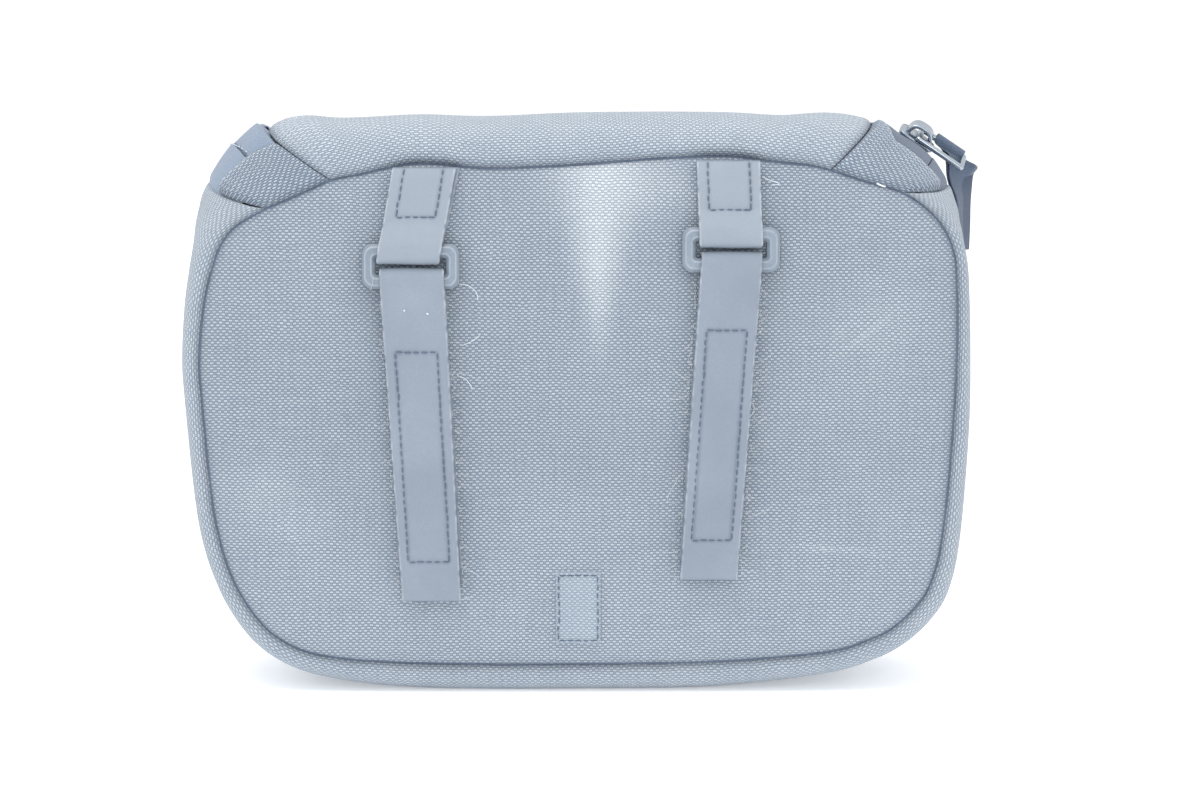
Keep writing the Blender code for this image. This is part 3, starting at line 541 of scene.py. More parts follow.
def cloth(name, rows, share, finish, slot, stands_for, marks, thick):
    """A grid of points as a piece of cloth, with its flat metres and its wall. Its columns lie
    at shares of the seam's length."""
    quads, row, column = grid_faces(*rows.shape[:2], flip=True)
    metres = np.stack([np.broadcast_to(share * SEAM_LENGTH, rows.shape[:2]), along_rows(rows)], -1)
    made = place_mesh(name, rows.reshape(-1, 3), [quads], [metres[row, column]], finish, slot,
                      stands_for, marks)
    return wall(made, thick)


def band(name, start, end, low, high, steps, finish, slot, thick=CLOTH_WALL, above=None,
         puckers=0.0, stands_for=None, sink=0.0011, wear=painted_top_light, shade=None):
    """The skin between two shares of the seam and two profile angles. None is a panel's seam.
    above is a function of share and angle that lifts it off the skin."""
    share = seam_steps(start, end, GAP, 0.0008)
    first = np.zeros(len(share)) if low is None else low(share)
    last = np.full(len(share), math.pi) if high is None else high(share)
    way = np.linspace(0, 1, steps + 1)[:, None]
    angle = first + (last - first) * way
    wave = np.sin(share * SEAM_LENGTH / 0.0083 * math.tau + 2 * np.sin(share * 90)) * np.sin(share * 37)
    lift = puckers * wave * np.exp(-((np.sin(angle) / 0.35) ** 2)) * np.sin(angle) * 3
    lift = lift - sink * beside_ends(share, start, end)
    if above:
        lift = lift + above(share, angle)
    rows = skin(straight_share(np.broadcast_to(share, angle.shape), angle), angle, lift)
    down = along_rows(rows)
    # Painted shade: darker beside the cross seams at both ends and beside each panel's seam.
    painted_seam_shade = 0.35 * beside_ends(share, start, end, 0.0010) * np.ones(angle.shape)
    for side, sewn, from_seam in ((-1, low is None, down), (1, high is None, down[-1] - down)):
        if sewn:
            rows[..., 1] += side * rolled(from_seam, share, start, end)
            painted_seam_shade = np.maximum(painted_seam_shade, SEAM_SHADE * np.exp(-from_seam / SEAM_SHADE_REACH))
    if low is None:
        rows = np.concatenate([allowance(share, -1)[None], rows])
        painted_seam_shade = np.concatenate([painted_seam_shade[:1], painted_seam_shade])
    if high is None:
        rows = np.concatenate([rows, allowance(share, 1)[None]])
        painted_seam_shade = np.concatenate([painted_seam_shade, painted_seam_shade[-1:]])
    marks = {"wear": wear(rows), "shade": shade(rows) if shade else painted_seam_shade}
    return cloth(name, rows, share, finish, slot, [name] if stands_for is None else stands_for, marks, thick)


def tape_half_width(share):
    """The zip tape's half width: a smooth step wider from the tab seams to the zip's ends."""
    into_right = (RIGHT_HIGH - share) / (RIGHT_HIGH - RIGHT_LOW)
    into_left = (share - LEFT_HIGH) / (LEFT_LOW - LEFT_HIGH)
    into = np.clip(np.maximum(into_right, into_left) / TAPE_WIDENING, 0, 1)
    return TAPE_HALF_WIDTH + (CORNER_TAPE_HALF_WIDTH - TAPE_HALF_WIDTH) * into * into * (3 - 2 * into)


def edge_beside(side):
    """The angle of the cloth's edge beside the zip tape."""
    return lambda share: angle_at(share, side * (tape_half_width(share) + GAP))


# Painted light: the whole gusset is made evenly paler than the panels of the same nylon.
gusset = band("side_gusset", LEFT_LOW - 1, RIGHT_LOW, None, None, 72, NYLON, "coated_nylon",
              puckers=0.0003, wear=even(0.13))
top_back = band("top_band_back", RIGHT_HIGH, LEFT_HIGH, None, edge_beside(-1), 54, NYLON, "coated_nylon",
                thick=0.0010, puckers=0.0003)
top_front = band("top_band_front", RIGHT_LOW, LEFT_LOW, edge_beside(1), None, 54, NYLON, "coated_nylon",
                 thick=0.0010, puckers=0.0003)
print("with bands:", triangles(), "triangles")

# %% [markdown]
# ## The corner tabs
#
# Each tab is a strip of the same nylon folded double. Its fold lies over the zip tape as a
# crisp, rounded edge. One closed profile makes it: the outer layer up from the seam, half a
# turn round the fold, and the inner layer back down.

# %% Folded tabs
def tab_half_width(share):
    """How far from the bag's middle plane a tab's fold lies. The right tab's fold runs down
    from the zip in a smooth step, and the left tab's fold rises a little to its low end."""
    into = np.clip((RIGHT_HIGH - share) / (RIGHT_HIGH - RIGHT_LOW) / 0.34, 0, 1)
    right = TAPE_HALF_WIDTH + (CORNER_TAPE_HALF_WIDTH - TAPE_HALF_WIDTH) * into * into * (3 - 2 * into)
    left = 0.0246 - 0.0035 * np.clip((share - LEFT_HIGH) / (LEFT_LOW - LEFT_HIGH), 0, 1)
    return np.where(share > 0.5 * (LEFT_HIGH + RIGHT_HIGH), left, right)


def tab(name, start, end):
    """Outer rows at the tab's height, then a half circle round its fold, then inner rows
    two radii lower."""
    fold, high, outer_rows = 0.0008, TAB_ABOVE_SKIN + 0.0004, 46
    share = seam_steps(start, end, GAP, 0.0006)
    sink = -(high + 0.0008) * beside_ends(share, start, end, 0.0009)
    edge = angle_at(share, -tab_half_width(share))
    speed = np.linalg.norm(skin(share, edge) - skin(share, edge - 0.01), axis=-1) / 0.01

    def row(angle, lift):
        return skin(straight_share(share, angle), angle, lift + sink)

    rows = [row(edge * way, high) for way in np.linspace(0, 1, outer_rows)]
    turns = np.linspace(0, math.pi, 11)[1:]
    rows += [row(edge + fold * math.sin(turn) / speed, high - fold + fold * math.cos(turn))
             for turn in turns]
    rows += [row(edge * way, high - 2 * fold) for way in np.linspace(1, 0.45, 12)[1:]]
    rows = np.stack(rows)
    from_seam = along_rows(rows)
    rows[:outer_rows, :, 1] -= rolled(from_seam, share, start, end)[:outer_rows]
    # Painted shade beside the seam and the cross seams, and the left tab a little darker all over.
    painted_seam_shade = np.maximum(SEAM_SHADE * np.exp(-from_seam / SEAM_SHADE_REACH),
                        0.4 * beside_ends(share, start, end, 0.0010))
    painted_seam_shade = np.concatenate([painted_seam_shade[:1], painted_seam_shade]) + (0.06 if start == LEFT_HIGH else 0.0)
    rows = np.concatenate([allowance(share, -1)[None], rows])
    # The fold's edge is made paler.
    from_fold = (np.arange(len(rows)) - outer_rows - 1) / 2.5
    rim = np.exp(-(from_fold**2))[:, None] * 0.35 * np.ones(len(share))
    cloth(name, rows, share, TAB_NYLON, "folded_nylon", [name], {"wear": rim, "shade": painted_seam_shade}, 0.0004)


tab("corner_tab_right", RIGHT_LOW, RIGHT_HIGH)
tab("corner_tab_left", LEFT_HIGH, LEFT_LOW)

# %% [markdown]
# ## The zip
#
# A closed zip is two tapes with a nylon coil between them. The coil's turns are loops that
# reach over from each side in turn. One loop is a short bent tube, and an array of places
# repeats it along the zip.

# %% Tapes and covered ends
ZIP_START = RIGHT_LOW + ZIP_END_RIGHT / SEAM_LENGTH
ZIP_STOP = LEFT_LOW - ZIP_END_LEFT / SEAM_LENGTH
# How far the tape reaches under a tab, where its edge beside the coil lies, and how far a
# corner's tape goes on under the next piece
UNDER_TAB, BESIDE_COIL, TUCKED = 0.0276, COIL_WIDTH / 2 - 0.0012, 0.0012 / SEAM_LENGTH


def at_y(y):
    return lambda share: angle_at(share, y)


def corner_part(share):
    """How far a share lies in the right and in the left corner, each from 0 to 1."""
    right = np.clip((RIGHT_HIGH - share) * SEAM_LENGTH / 0.003, 0, 1)
    left = np.clip((share - LEFT_HIGH) * SEAM_LENGTH / 0.0015, 0, 1)
    return right, left


def tape_lift(share, angle):
    """The tape lies 1.4 mm under the bands' edges and rises where it leaves them for a corner.
    It dips along the coil, most of all where the slider sits. At the bag's two outer ends it
    dives under the gusset."""
    right, left = corner_part(share)
    y = np.abs(skin(np.broadcast_to(share, angle.shape), angle)[..., 1])
    from_right = (RIGHT_HIGH - share) * SEAM_LENGTH
    from_left = (share - LEFT_HIGH) * SEAM_LENGTH
    at_slider = np.clip(from_right / 0.007, 0, 1)
    dip = 0.0006 + 0.0008 * left + 0.0004 * at_slider
    crest = 0.0014 * right * (1 - at_slider) + left * (0.0008 + 0.0024 * np.exp(-((from_left / 0.008) ** 2)))
    crest = crest * np.clip((tab_half_width(share) - 0.001 - y) / 0.004, 0, 1)
    under = np.clip((y - tab_half_width(share) + 0.001) / 0.004, 0, 1) * (right + left) * 0.0012
    from_end = np.minimum(share - RIGHT_LOW, LEFT_LOW - share) * SEAM_LENGTH
    dive = 0.0018 * np.clip((0.0007 - from_end) / 0.0018, 0, 1)
    return -0.0014 * (1 - right - left) - 0.0003 + crest - under - dive - dip * np.exp(-((y / 0.0062) ** 2))


def tape_shade(rows):
    """Darker in the right corner, under the slider, and beside the left end's cover."""
    x = rows[..., 0]
    right = 0.6 * np.clip((x - 0.088) / 0.012, 0, 1) + 0.12 * np.clip((x - 0.078) / 0.01, 0, 1)
    return right + 0.16 * np.clip((-x - 0.088) / 0.012, 0, 1)


def tucked(start, way):
    """How deep a corner's tape dives where it goes under the top bands, 1.2 mm past a seam."""
    return lambda share: 0.0024 * np.clip((0.0008 - way * (share - start) * SEAM_LENGTH) / 0.0018, 0, 1)


def tape(name, start, end, low, high, steps, stands_for, lift=0.0, end_shade=0.0, dive=lambda share: 0.0):
    """One stretch of tape, 0.6 mm thick. end_shade darkens its last half millimetre."""
    def above(share, angle):
        return tape_lift(share, angle) + lift - dive(share)

    def shade(rows):
        columns = rows.shape[1]
        return tape_shade(rows) + end_shade * (np.arange(columns) >= columns - 4)

    band(name, start, end, low, high, steps, TAPE, "zip_tape", thick=0.0006, above=above,
         stands_for=stands_for, sink=0.0, wear=even(0.0), shade=shade)


tape("zip_tape_back", RIGHT_HIGH, LEFT_HIGH, at_y(-TAPE_HALF_WIDTH - 0.0015), at_y(-BESIDE_COIL), 14,
     ["zip_tape_back"])
tape("zip_tape_front", ZIP_START, ZIP_STOP, at_y(BESIDE_COIL), edge_beside(1), 14,
     ["zip_tape_front"], end_shade=0.6)
tape("zip_tape_corner_left", LEFT_HIGH - TUCKED, ZIP_STOP, at_y(-UNDER_TAB), at_y(-BESIDE_COIL), 20, (),
     end_shade=0.6, dive=tucked(LEFT_HIGH, 1))
tape("zip_tape_corner_right", ZIP_START, RIGHT_HIGH + TUCKED, at_y(-UNDER_TAB), at_y(-BESIDE_COIL), 20, (),
     dive=tucked(RIGHT_HIGH, -1))
tape("zip_end_left", ZIP_STOP, LEFT_LOW + TUCKED, at_y(-UNDER_TAB), edge_beside(1), 40,
     ["zip_end_left"], lift=0.0005)
tape("zip_end_right", RIGHT_LOW - TUCKED, ZIP_START, at_y(-UNDER_TAB), edge_beside(1), 40,
     ["zip_end_right"], lift=0.0003)

# %% Tubes along paths
def unit(vectors):
    return vectors / np.linalg.norm(vectors, axis=-1, keepdims=True)


def through(points, count):
    """A smooth curve through points at even steps: cubic Hermite pieces, each slope the
    mean of its neighbours' slopes."""
    points = np.asarray(points, float)
    length = np.concatenate([[0], np.cumsum(np.linalg.norm(np.diff(points, axis=0), axis=1))])
    slope = np.gradient(points, length, axis=0)
    at = np.linspace(0, length[-1], count)
    i = np.clip(np.searchsorted(length, at, side="right") - 1, 0, len(points) - 2)
    span = (length[i + 1] - length[i])[:, None]
    t = (at - length[i])[:, None] / span
    return ((2 * t**3 - 3 * t**2 + 1) * points[i] + (t**3 - 2 * t**2 + t) * slope[i] * span
            + (3 * t**2 - 2 * t**3) * points[i + 1] + (t**3 - t**2) * slope[i + 1] * span)


def carried(path, across, out, profile, loop=False):
    """A closed profile carried along a path: path + across * profile x + out * profile y.
    Gives points, faces and flat places. Its open ends are closed by one face each."""
    across, out = np.broadcast_to(across, path.shape), np.broadcast_to(out, path.shape)
    profile = np.broadcast_to(profile, (len(path), *profile.shape[-2:]))
    points = path[:, None] + across[:, None] * profile[..., :1] + out[:, None] * profile[..., 1:]
    ahead = np.gradient(path, axis=0)
    inside_out = np.sum(np.cross(across, out) * ahead) < 0
    quads, row, column = grid_faces(*points.shape[:2], (loop, True), flip=inside_out)
    rounds = np.concatenate([profile[0], profile[0][:1]])
    around = np.concatenate([[0], np.cumsum(np.linalg.norm(np.diff(rounds, axis=0), axis=1))])
    steps = np.linalg.norm(np.diff(np.concatenate([path, path[:1]]), axis=0), axis=1)
    down = np.concatenate([[0], np.cumsum(steps)])
    faces, metres = [quads], [np.stack([around[column], down[row]], -1)]
    if not loop:
        for at, back_to_front in ((0, True), (len(path) - 1, False)):
            ring = at * points.shape[1] + np.arange(points.shape[1])
            ring = ring[::-1] if back_to_front != inside_out else ring
            faces.append(ring[None])
            metres.append(profile[0][ring % points.shape[1]][None])
    return points.reshape(-1, 3), faces, metres


def joined(parts):
    """Several (points, faces, flat places) as one, grouped by the faces' sizes."""
    start, points, faces, metres = 0, [], [], []
    for part_points, part_faces, part_metres in parts:
        points.append(part_points)
        faces += [each + start for each in part_faces]
        metres += part_metres
        start += len(part_points)
    return np.concatenate(points), faces, metres


def repeated(one, places):
    """A small closed shape at many places. places is n x 4 x 3: an origin and three axes."""
    points, faces, metres = one
    moved = places[:, None, 0] + np.einsum("pk,nkx->npx", points, places[:, 1:])
    shift = (np.arange(len(places)) * len(points))[:, None, None]
    all_faces = [(each[None] + shift).reshape(-1, each.shape[1]) for each in faces]
    return moved.reshape(-1, 3), all_faces, [np.tile(each, (len(places), 1, 1)) for each in metres]


def round_profile(radius, sides):
    turn = np.arange(sides) / sides * math.tau
    return radius * np.stack([np.cos(turn), np.sin(turn)], 1)


# %% Thread in the panels' seams
def seam_thread(side):
    """The thread and folded edges deep in a panel's seam: a tube that follows the seam."""
    steps = 720
    place, normal = seam(np.arange(steps) / steps)[:2]
    path = np.stack([place[:, 0], np.full(steps, side * (SEAM_DEPTH / 2 - 0.0002)), place[:, 1]], 1)
    across = np.stack([normal[:, 0], 0 * normal[:, 0], normal[:, 1]], 1)
    return carried(path, across, [0.0, 1.0, 0.0], round_profile(0.0005, 6), loop=True)


# %% [markdown]
# ## Plain finishes for the small parts
#
# The straps are webbing with a rubbery face: matt, faintly mottled, with a fine grain. The
# rings are moulded plastic with a soft sheen and painted highlights on their edges. The slider
# and its pull are plated metal with fine scratches, and the pull has painted highlights on its
# creases.

# %% Straps, plastic, metal and thread
def mottled(name, base, pale, dark, roughness, grain, grain_depth, specular=0.5, metallic=0.0, blotch=30.0,
            scratch=0.0, sheen=0.0):
    """A smooth surface: two sizes of noise shade it from dark to pale, fine noise roughens
    it, the marked wear and painted highlights lighten their points, and the marked painted
    shade darkens them."""
    made, tree, shader = new_finish(name, roughness, metallic, specular, sheen)
    place = add(tree, "TexCoord").outputs["Object"]
    large = add(tree, "TexNoise", {"Vector": place, "Scale": blotch, "Detail": 4.0, "Roughness": 0.6})
    small = add(tree, "TexNoise", {"Vector": place, "Scale": grain, "Detail": 3.0, "Roughness": 0.65})
    blend = add(tree, "Math", {0: large, 1: 0.6, 2: 0.2}, operation="MULTIPLY_ADD")
    blend = add(tree, "Math", {0: small, 1: 0.4, 2: blend}, operation="MULTIPLY_ADD")
    ramp = add(tree, "ValToRGB", {0: blend})
    ramp.color_ramp.elements[0].position = 0.45
    ramp.color_ramp.elements[0].color = linear(dark)
    ramp.color_ramp.elements[1].position = 0.95
    ramp.color_ramp.elements[1].color = linear(pale)
    ramp.color_ramp.elements.new(0.7).color = linear(base)
    worn_and_lit = add(tree, "Attribute", attribute_name="wear").outputs["Fac"]
    colour = marked(tree, ramp, worn_and_lit, "#e4eaf0", "#3c4a60")
    rough = add(tree, "MapRange", {0: large, 1: 0.3, 2: 0.7, 3: roughness - 0.08, 4: roughness + 0.1})
    bump = add(tree, "Bump", {"Strength": 0.7, "Distance": grain_depth, "Height": small})
    if scratch:
        lines = add(tree, "VectorMath", {0: place, 1: (1.0, 1.0, 12.0)}, operation="MULTIPLY")
        lines = add(tree, "TexNoise", {"Vector": lines, "Scale": 900.0, "Detail": 3.0})
        bump = add(tree, "Bump", {"Strength": scratch, "Distance": 0.00003, "Height": lines,
                                  "Normal": bump})
    tree.links.new(colour, shader.inputs["Base Color"])
    tree.links.new(rough.outputs[0], shader.inputs["Roughness"])
    tree.links.new(bump.outputs[0], shader.inputs["Normal"])
    return made


WEBBING = mottled("rubber_faced_webbing", "#858f9c", "#929da9", "#7a8592", 0.62, 2600.0, 0.00003,
                  specular=0.3)
PLASTIC = mottled("moulded_ring_plastic", "#7f8b98", "#919daa", "#6e7b8c", 0.36, 1500.0, 0.00002)
METAL = mottled("plated_cast_metal", "#a3adb9", "#ccd3da", "#74808e", 0.26, 2200.0, 0.00001,
                metallic=1.0, scratch=0.3)
COIL = mottled("extruded_nylon_coil", "#8a97a8", "#a0acba", "#6f7d90", 0.4, 2000.0, 0.00001)
THREAD = mottled("twisted_polyester_thread", "#58677c", "#74839a", "#46546a", 0.7, 5200.0, 0.00005)
PALE_THREAD = mottled("bleached_polyester_thread", "#c3ccd7", "#dde3ea", "#a3afbd", 0.7, 5200.0, 0.00005)
LINT = mottled("white_lint", "#eef2f5", "#ffffff", "#dfe6ec", 0.9, 2000.0, 0.00001)
HOOK = mottled("hook_and_loop_pile", "#76828f", "#94a0ac", "#5a6672", 0.95, 3600.0, 0.00035, sheen=0.3)
RIBBON_CLOTH = woven("ribbed_nylon_ribbon", 0.00036, 0.00030, "#29384e", "#495a73", "#6a7b92", 0.00010,
                     slub=0.3, dust=0.05, wander=0.05)

for name, side in (("seam_thread_back", -1), ("seam_thread_front", 1)):
    place_mesh(name, *seam_thread(side), THREAD, "coated_nylon")

# %% The coil
def coil_loops():
    """Loops at every 1.25 mm along the zip, in turn from the back and from the front. A loop
    runs out from the middle, bends round, and comes back half a pitch on."""
    pitch, wire = 0.00125, 0.00030
    half = COIL_WIDTH / 2 - wire - 0.0003
    turn = np.linspace(0, 1, 11)
    # The loop in its own axes: along the zip, across it, and up
    local = np.stack([
        pitch * 0.42 * (turn - 0.5) * 2 * np.sin(turn * math.pi) ** 0.3,
        half * np.cos((turn - 0.5) * math.pi * 1.3) - half * 0.25,
        0.00045 * np.cos(turn * math.tau),
    ], 1)
    ahead = unit(np.gradient(local, axis=0))
    side = unit(np.cross(ahead, [0.05, 0.02, 1.0]))
    loop = carried(local, side, unit(np.cross(ahead, side)), round_profile(wire, 5))
    count = int((ZIP_STOP - ZIP_START) * SEAM_LENGTH / pitch)
    share = ZIP_START + (np.arange(2 * count) + 1) / (2 * count + 2) * (ZIP_STOP - ZIP_START)
    angle = np.full(len(share), math.pi / 2)
    spot = skin(share, angle, COIL_ABOVE_TAPE)
    ahead = unit(skin(share + 1e-4, angle) - skin(share - 1e-4, angle))
    level = np.tile([0.0, 1.0, 0.0], (len(share), 1))
    up = unit(np.cross(level, ahead))
    normal = seam(share)[1]
    outward = np.stack([normal[:, 0], 0 * share, normal[:, 1]], -1)
    up *= np.sign(np.sum(up * outward, 1))[:, None]
    flip = np.where(np.arange(len(share)) % 2, 1.0, -1.0)[:, None]
    right, left = corner_part(share)
    lift = (tape_lift(share, angle) + 0.0002 - 0.0009 * (left + right))[:, None]
    places = np.stack([spot + up * (lift - COIL_ABOVE_TAPE), ahead * flip, level * flip, up], 1)
    return repeated(loop, places)


made = place_mesh("zip_coil", *coil_loops(), COIL, "zip_coil", ["zip_coil"])
print("zip coil:", len(made.data.polygons), "faces")

# %% [markdown]
# ## Straps
#
# A strap is one flat band that goes behind its ring, folds over the bar and lies down the
# front, where a box of stitches holds it. The path is worked out the same way as in the CAD,
# and a flat profile with rounded edges is carried along it. Where the thread pulls the face
# in, the face has a shallow furrow.

# %% Where straps run
def back_y(x, z):
    """The back panel's surface at places across and up."""
    rim = FINE[:, :2] - MIDDLE
    turn = np.arctan2(rim[:, 1], rim[:, 0])
    order = np.argsort(turn)
    edge = np.interp(np.arctan2(z - MIDDLE[1], x), turn[order], np.hypot(*rim.T)[order], period=math.tau)
    return -(SEAM_DEPTH / 2 + panel_bulge(np.hypot(x, z - MIDDLE[1]) / edge, BACK_DOME))


def over_panel(x, z, width, depth):
    """A place depth metres off the back panel, clear of it across a strap's width."""
    return np.array([x, min(back_y(x + offset, z) for offset in (-width / 2, 0, width / 2)) - depth, z])


def ring_frame(x, z):
    """A place on the back panel, with the directions up along the panel and out of it."""
    high = over_panel(x, z + RING_HEIGHT / 2, STRAP_WIDTH, 0)
    low = over_panel(x, z - RING_HEIGHT / 2, STRAP_WIDTH, 0)
    up = (high - low) / np.linalg.norm(high - low)
    return (high + low) / 2, up, np.array([0, -up[2], up[1]])


def fold_path(ring, down, x_near, x_far, z_far, depths, skew=0.0):
    """A strap's middle line from behind a ring's bar, over the bar and down its front. down is
    1 for a strap that hangs below its bar and -1 for one that rises above it. skew moves the
    far end of the rear layer sideways."""
    place, up, out = ring
    behind, before, far = depths
    high = FOLD_ROOM + RING_THICKNESS / 2
    centre = down * (FOLD_ROOM - high - RING_HEIGHT / 2 + RING_BAR)
    turn = np.linspace(0, math.pi, 13)[:, None]
    depth = (behind + before) / 2 - (before - behind) / 2 * np.cos(turn)
    bar = place + up * (centre + down * high * np.sin(turn)) + out * depth
    runs = []
    for end_z, near_depth, far_depth in ((z_far[0], behind, behind), (z_far[1], before, far)):
        reach = abs(place[2] - end_z) - RING_HEIGHT / 2
        run = [place - up * down * RING_HEIGHT / 2 + out * near_depth]
        for step in (4, 9, 15, 26, 38, 50, 62, 74, 87, 100):
            drop = RING_HEIGHT / 2 + reach * step / 100
            x = place[0]
            ease = max(0.0, 1 - step / 26)
            run.append(over_panel(x, place[2] - down * drop, STRAP_WIDTH,
                                  far_depth + (near_depth - far_depth) * ease))
        runs.append(np.array(run))
    path = np.concatenate([runs[0][::-1], bar, runs[1]])
    path[:, 0] = x_near + (x_far - x_near) * (place[2] - path[:, 2]) / (place[2] - z_far[1])
    path[:len(runs[0]), 0] += skew * np.linspace(1, 0, len(runs[0]))
    return path


# One row for each side. The places are shares of the seam's half width and height, the widths
# are shares of a strap's width, and the rest is in metres: half of each stitch box's width, and
# how far the ring's own loop stands aside and how far its rear layer goes askew.
StrapLine = namedtuple("StrapLine", "side top_across ring_across end_across ring_up end_up pad_high "
                       "pad_low end_width ring_width box_half loop_half loop_aside loop_skew")
STRAP_LINES = [
    StrapLine("left", -0.400, -0.436, -0.387, 0.789, 0.135, 0.645, 0.205, 0.94, 1.02,
              0.0066, 0.0062, 0.0011, 0.0012),
    StrapLine("right", 0.392, 0.400, 0.345, 0.821, 0.178, 0.690, 0.255, 0.91, 0.96,
              0.0064, 0.0066, 0.0, 0.0),
]
STITCH_BOX, LOOP_STITCHES = (0.0128, 0.0800), (0.0002, 0.0157)

# %% Strap and stitch makers
STITCH_LENGTH, STITCH_PITCH, THREAD_RADIUS = 0.0023, 0.0026, 0.00020


def strap_profile(width, thickness, count):
    """A flat band: count points over its face, then its rounded edge, back and other edge."""
    round_off = thickness / 2
    flat = width / 2 - round_off
    face = np.stack([np.linspace(-flat, flat, count), np.full(count, thickness / 2)], 1)
    turn = np.linspace(math.pi / 2, -math.pi / 2, 7)[1:-1]
    edge = np.stack([flat + round_off * np.cos(turn), round_off * np.sin(turn)], 1)
    under = np.stack([np.linspace(flat, -flat, 9), np.full(9, -thickness / 2)], 1)
    return np.concatenate([face, edge, under, edge[::-1] * (-1, 1)])[::-1]


def line_distance(u, v, corners):
    """The distance from flat places to a line of straight pieces through corners."""
    best = np.full(np.broadcast(u, v).shape, 1.0)
    for (ax, ay), (bx, by) in zip(corners, corners[1:]):
        t = np.clip(((u - ax) * (bx - ax) + (v - ay) * (by - ay)) / ((bx - ax) ** 2 + (by - ay) ** 2), 0, 1)
        best = np.minimum(best, np.hypot(u - ax - t * (bx - ax), v - ay - t * (by - ay)))
    return best


def box(half, low, high):
    """The corners of a closed box of stitches."""
    return [(-half, low), (-half, high), (half, high), (half, low), (-half, low)]


def stitch_spots(corners):
    """Middles and headings of stitches along a line of straight pieces, in flat places."""
    spots = []
    for a, b in zip(np.array(corners), np.array(corners)[1:]):
        length = np.linalg.norm(b - a)
        count = max(1, round(length / STITCH_PITCH))
        way = (np.arange(count) + 0.5) / count
        heading = np.broadcast_to((b - a) / length, (count, 2))
        spots.append(np.concatenate([a + (b - a) * way[:, None], heading], 1))
    return np.concatenate(spots)


def stitch_shape():
    """One stitch: a thread that dips into the cloth at both ends."""
    way = np.linspace(-1, 1, 5)
    path = np.stack([way * STITCH_LENGTH / 2, 0 * way, THREAD_RADIUS * (0.75 - 1.6 * way**4)], 1)
    thin = (1 - 0.45 * way**4)[:, None, None]
    return carried(path, [0.0, 1.0, 0.0], [0.0, 0.0, 1.0], round_profile(THREAD_RADIUS, 6) * thin)


STITCH = stitch_shape()
stitches = []


def sew(surface, outward, corners, sink=0.0001):
    """Puts stitches along corners on a surface, which is a function of flat places. Each is a
    little aside of the line and a little shorter or longer, as on the real bag."""
    spots = stitch_spots(corners)
    random = np.random.default_rng(len(spots))
    aside = random.normal(0, 0.00008, len(spots))
    spots[:, 0] += aside * spots[:, 3]
    spots[:, 1] -= aside * spots[:, 2]
    here = surface(spots[:, 0], spots[:, 1])
    ahead = unit(surface(spots[:, 0] + spots[:, 2] * 0.0006, spots[:, 1] + spots[:, 3] * 0.0006) - here)
    up = unit(outward - np.sum(outward * ahead, -1, keepdims=True) * ahead)
    length = random.uniform(0.68, 1.06, (len(spots), 1))
    places = np.stack([here - up * sink, ahead * length, np.cross(up, ahead), up], 1)
    stitches.append(repeated(STITCH, places))


def add_strap(name, path, width, thickness, finish, slot, seams=(), uneven=0.0, across=(1.0, 0, 0),
              widths=(1.0, 1.0), pale=0.0):
    """A strap along a path, level across. seams are stitch lines as (u, v) corners in metres:
    u across from the middle and v along from the path's end."""
    count = int(np.sum(np.linalg.norm(np.diff(path, axis=0), axis=1)) / 0.0007)
    path = through(path, count)
    ahead = unit(np.gradient(path, axis=0))
    across = np.array(across)
    out = unit(np.cross(ahead, across))
    profile = np.repeat(strap_profile(width, thickness, 41)[None], len(path), 0)
    done = np.concatenate([[0], np.cumsum(np.linalg.norm(np.diff(path, axis=0), axis=1))])
    v = np.broadcast_to((done[-1] - done)[:, None], profile.shape[:2])
    u = profile[..., 0].copy()
    on_face = profile[..., 1] > 0.49 * thickness
    # Painted shade on the rear layer, on the loops' top end face and in the furrows along the stitches.
    shade = np.where((v > 0.52 * done[-1]) | ((v < 0.0004) & (pale > 0)), 0.35, 0.0)
    for corners in seams:
        far = line_distance(u, v, corners)
        profile[..., 1] -= np.where(on_face, 0.00028 * np.exp(-((far / 0.0007) ** 2)), 0)
        shade = np.maximum(shade, np.where(on_face, 0.24 * np.exp(-((far / 0.00045) ** 2)), 0))
    profile[..., 1] += 0.00012 * np.sin(v / 0.013 + u / 0.004) * np.where(on_face, 1, 0)
    profile[..., 0] *= np.interp(v, (0.0, 0.09), widths)
    jag = np.sin(v / 0.0011) * np.sin(v / 0.0027 + 1) + 0.5 * np.sin(v / 0.00052)
    at_edge = np.abs(u) / (width / 2) > 0.9
    profile[..., 0] += np.where(at_edge, np.sign(u) * jag * uneven, 0)
    # pale is painted light: the loops are made paler, as they catch more light from above. The pale, jagged
    # edges are frayed cloth.
    wear = pale + np.where(np.abs(u) > width / 2 - 0.0005, 0.12 + 0.12 * jag, 0.0)
    points, faces, metres = carried(path, across, out, profile)
    place_mesh(name, points, faces, metres, finish, slot, [name], {"wear": wear, "shade": shade})

    def row_at(v):
        return np.interp(done[-1] - v, done, np.arange(len(path)))

    def surface(u, v):
        at = row_at(v)
        low = np.floor(at).astype(int)
        high = np.minimum(low + 1, len(path) - 1)
        part = (at - low)[:, None]
        middle = path[low] * (1 - part) + path[high] * part
        return middle + across * u[:, None] + out[low] * thickness / 2

    for corners in seams:
        sew(surface, out[row_at(stitch_spots(corners)[:, 1]).astype(int)], corners)


# %% [markdown]
# ## Rings
#
# A ring is a moulded frame. Its outer and inner outlines are rounded rectangles with the same
# number of points, and a section with cut corners is stretched between them at every point.
# The creases get painted highlights, so each of them gets its own close pair of points.

# %% Rings and frames
def outline(width, height, corner, steps):
    """A rounded rectangle, anticlockwise, with steps points at each corner."""
    turn = (np.arange(4)[:, None] + np.linspace(0, 1, steps)) * math.pi / 2
    sx = np.array([1, -1, -1, 1])[:, None]
    sy = np.array([1, 1, -1, -1])[:, None]
    x = sx * (width / 2 - corner) + corner * np.cos(turn)
    y = sy * (height / 2 - corner) + corner * np.sin(turn)
    return np.stack([x, y], -1).reshape(-1, 2)


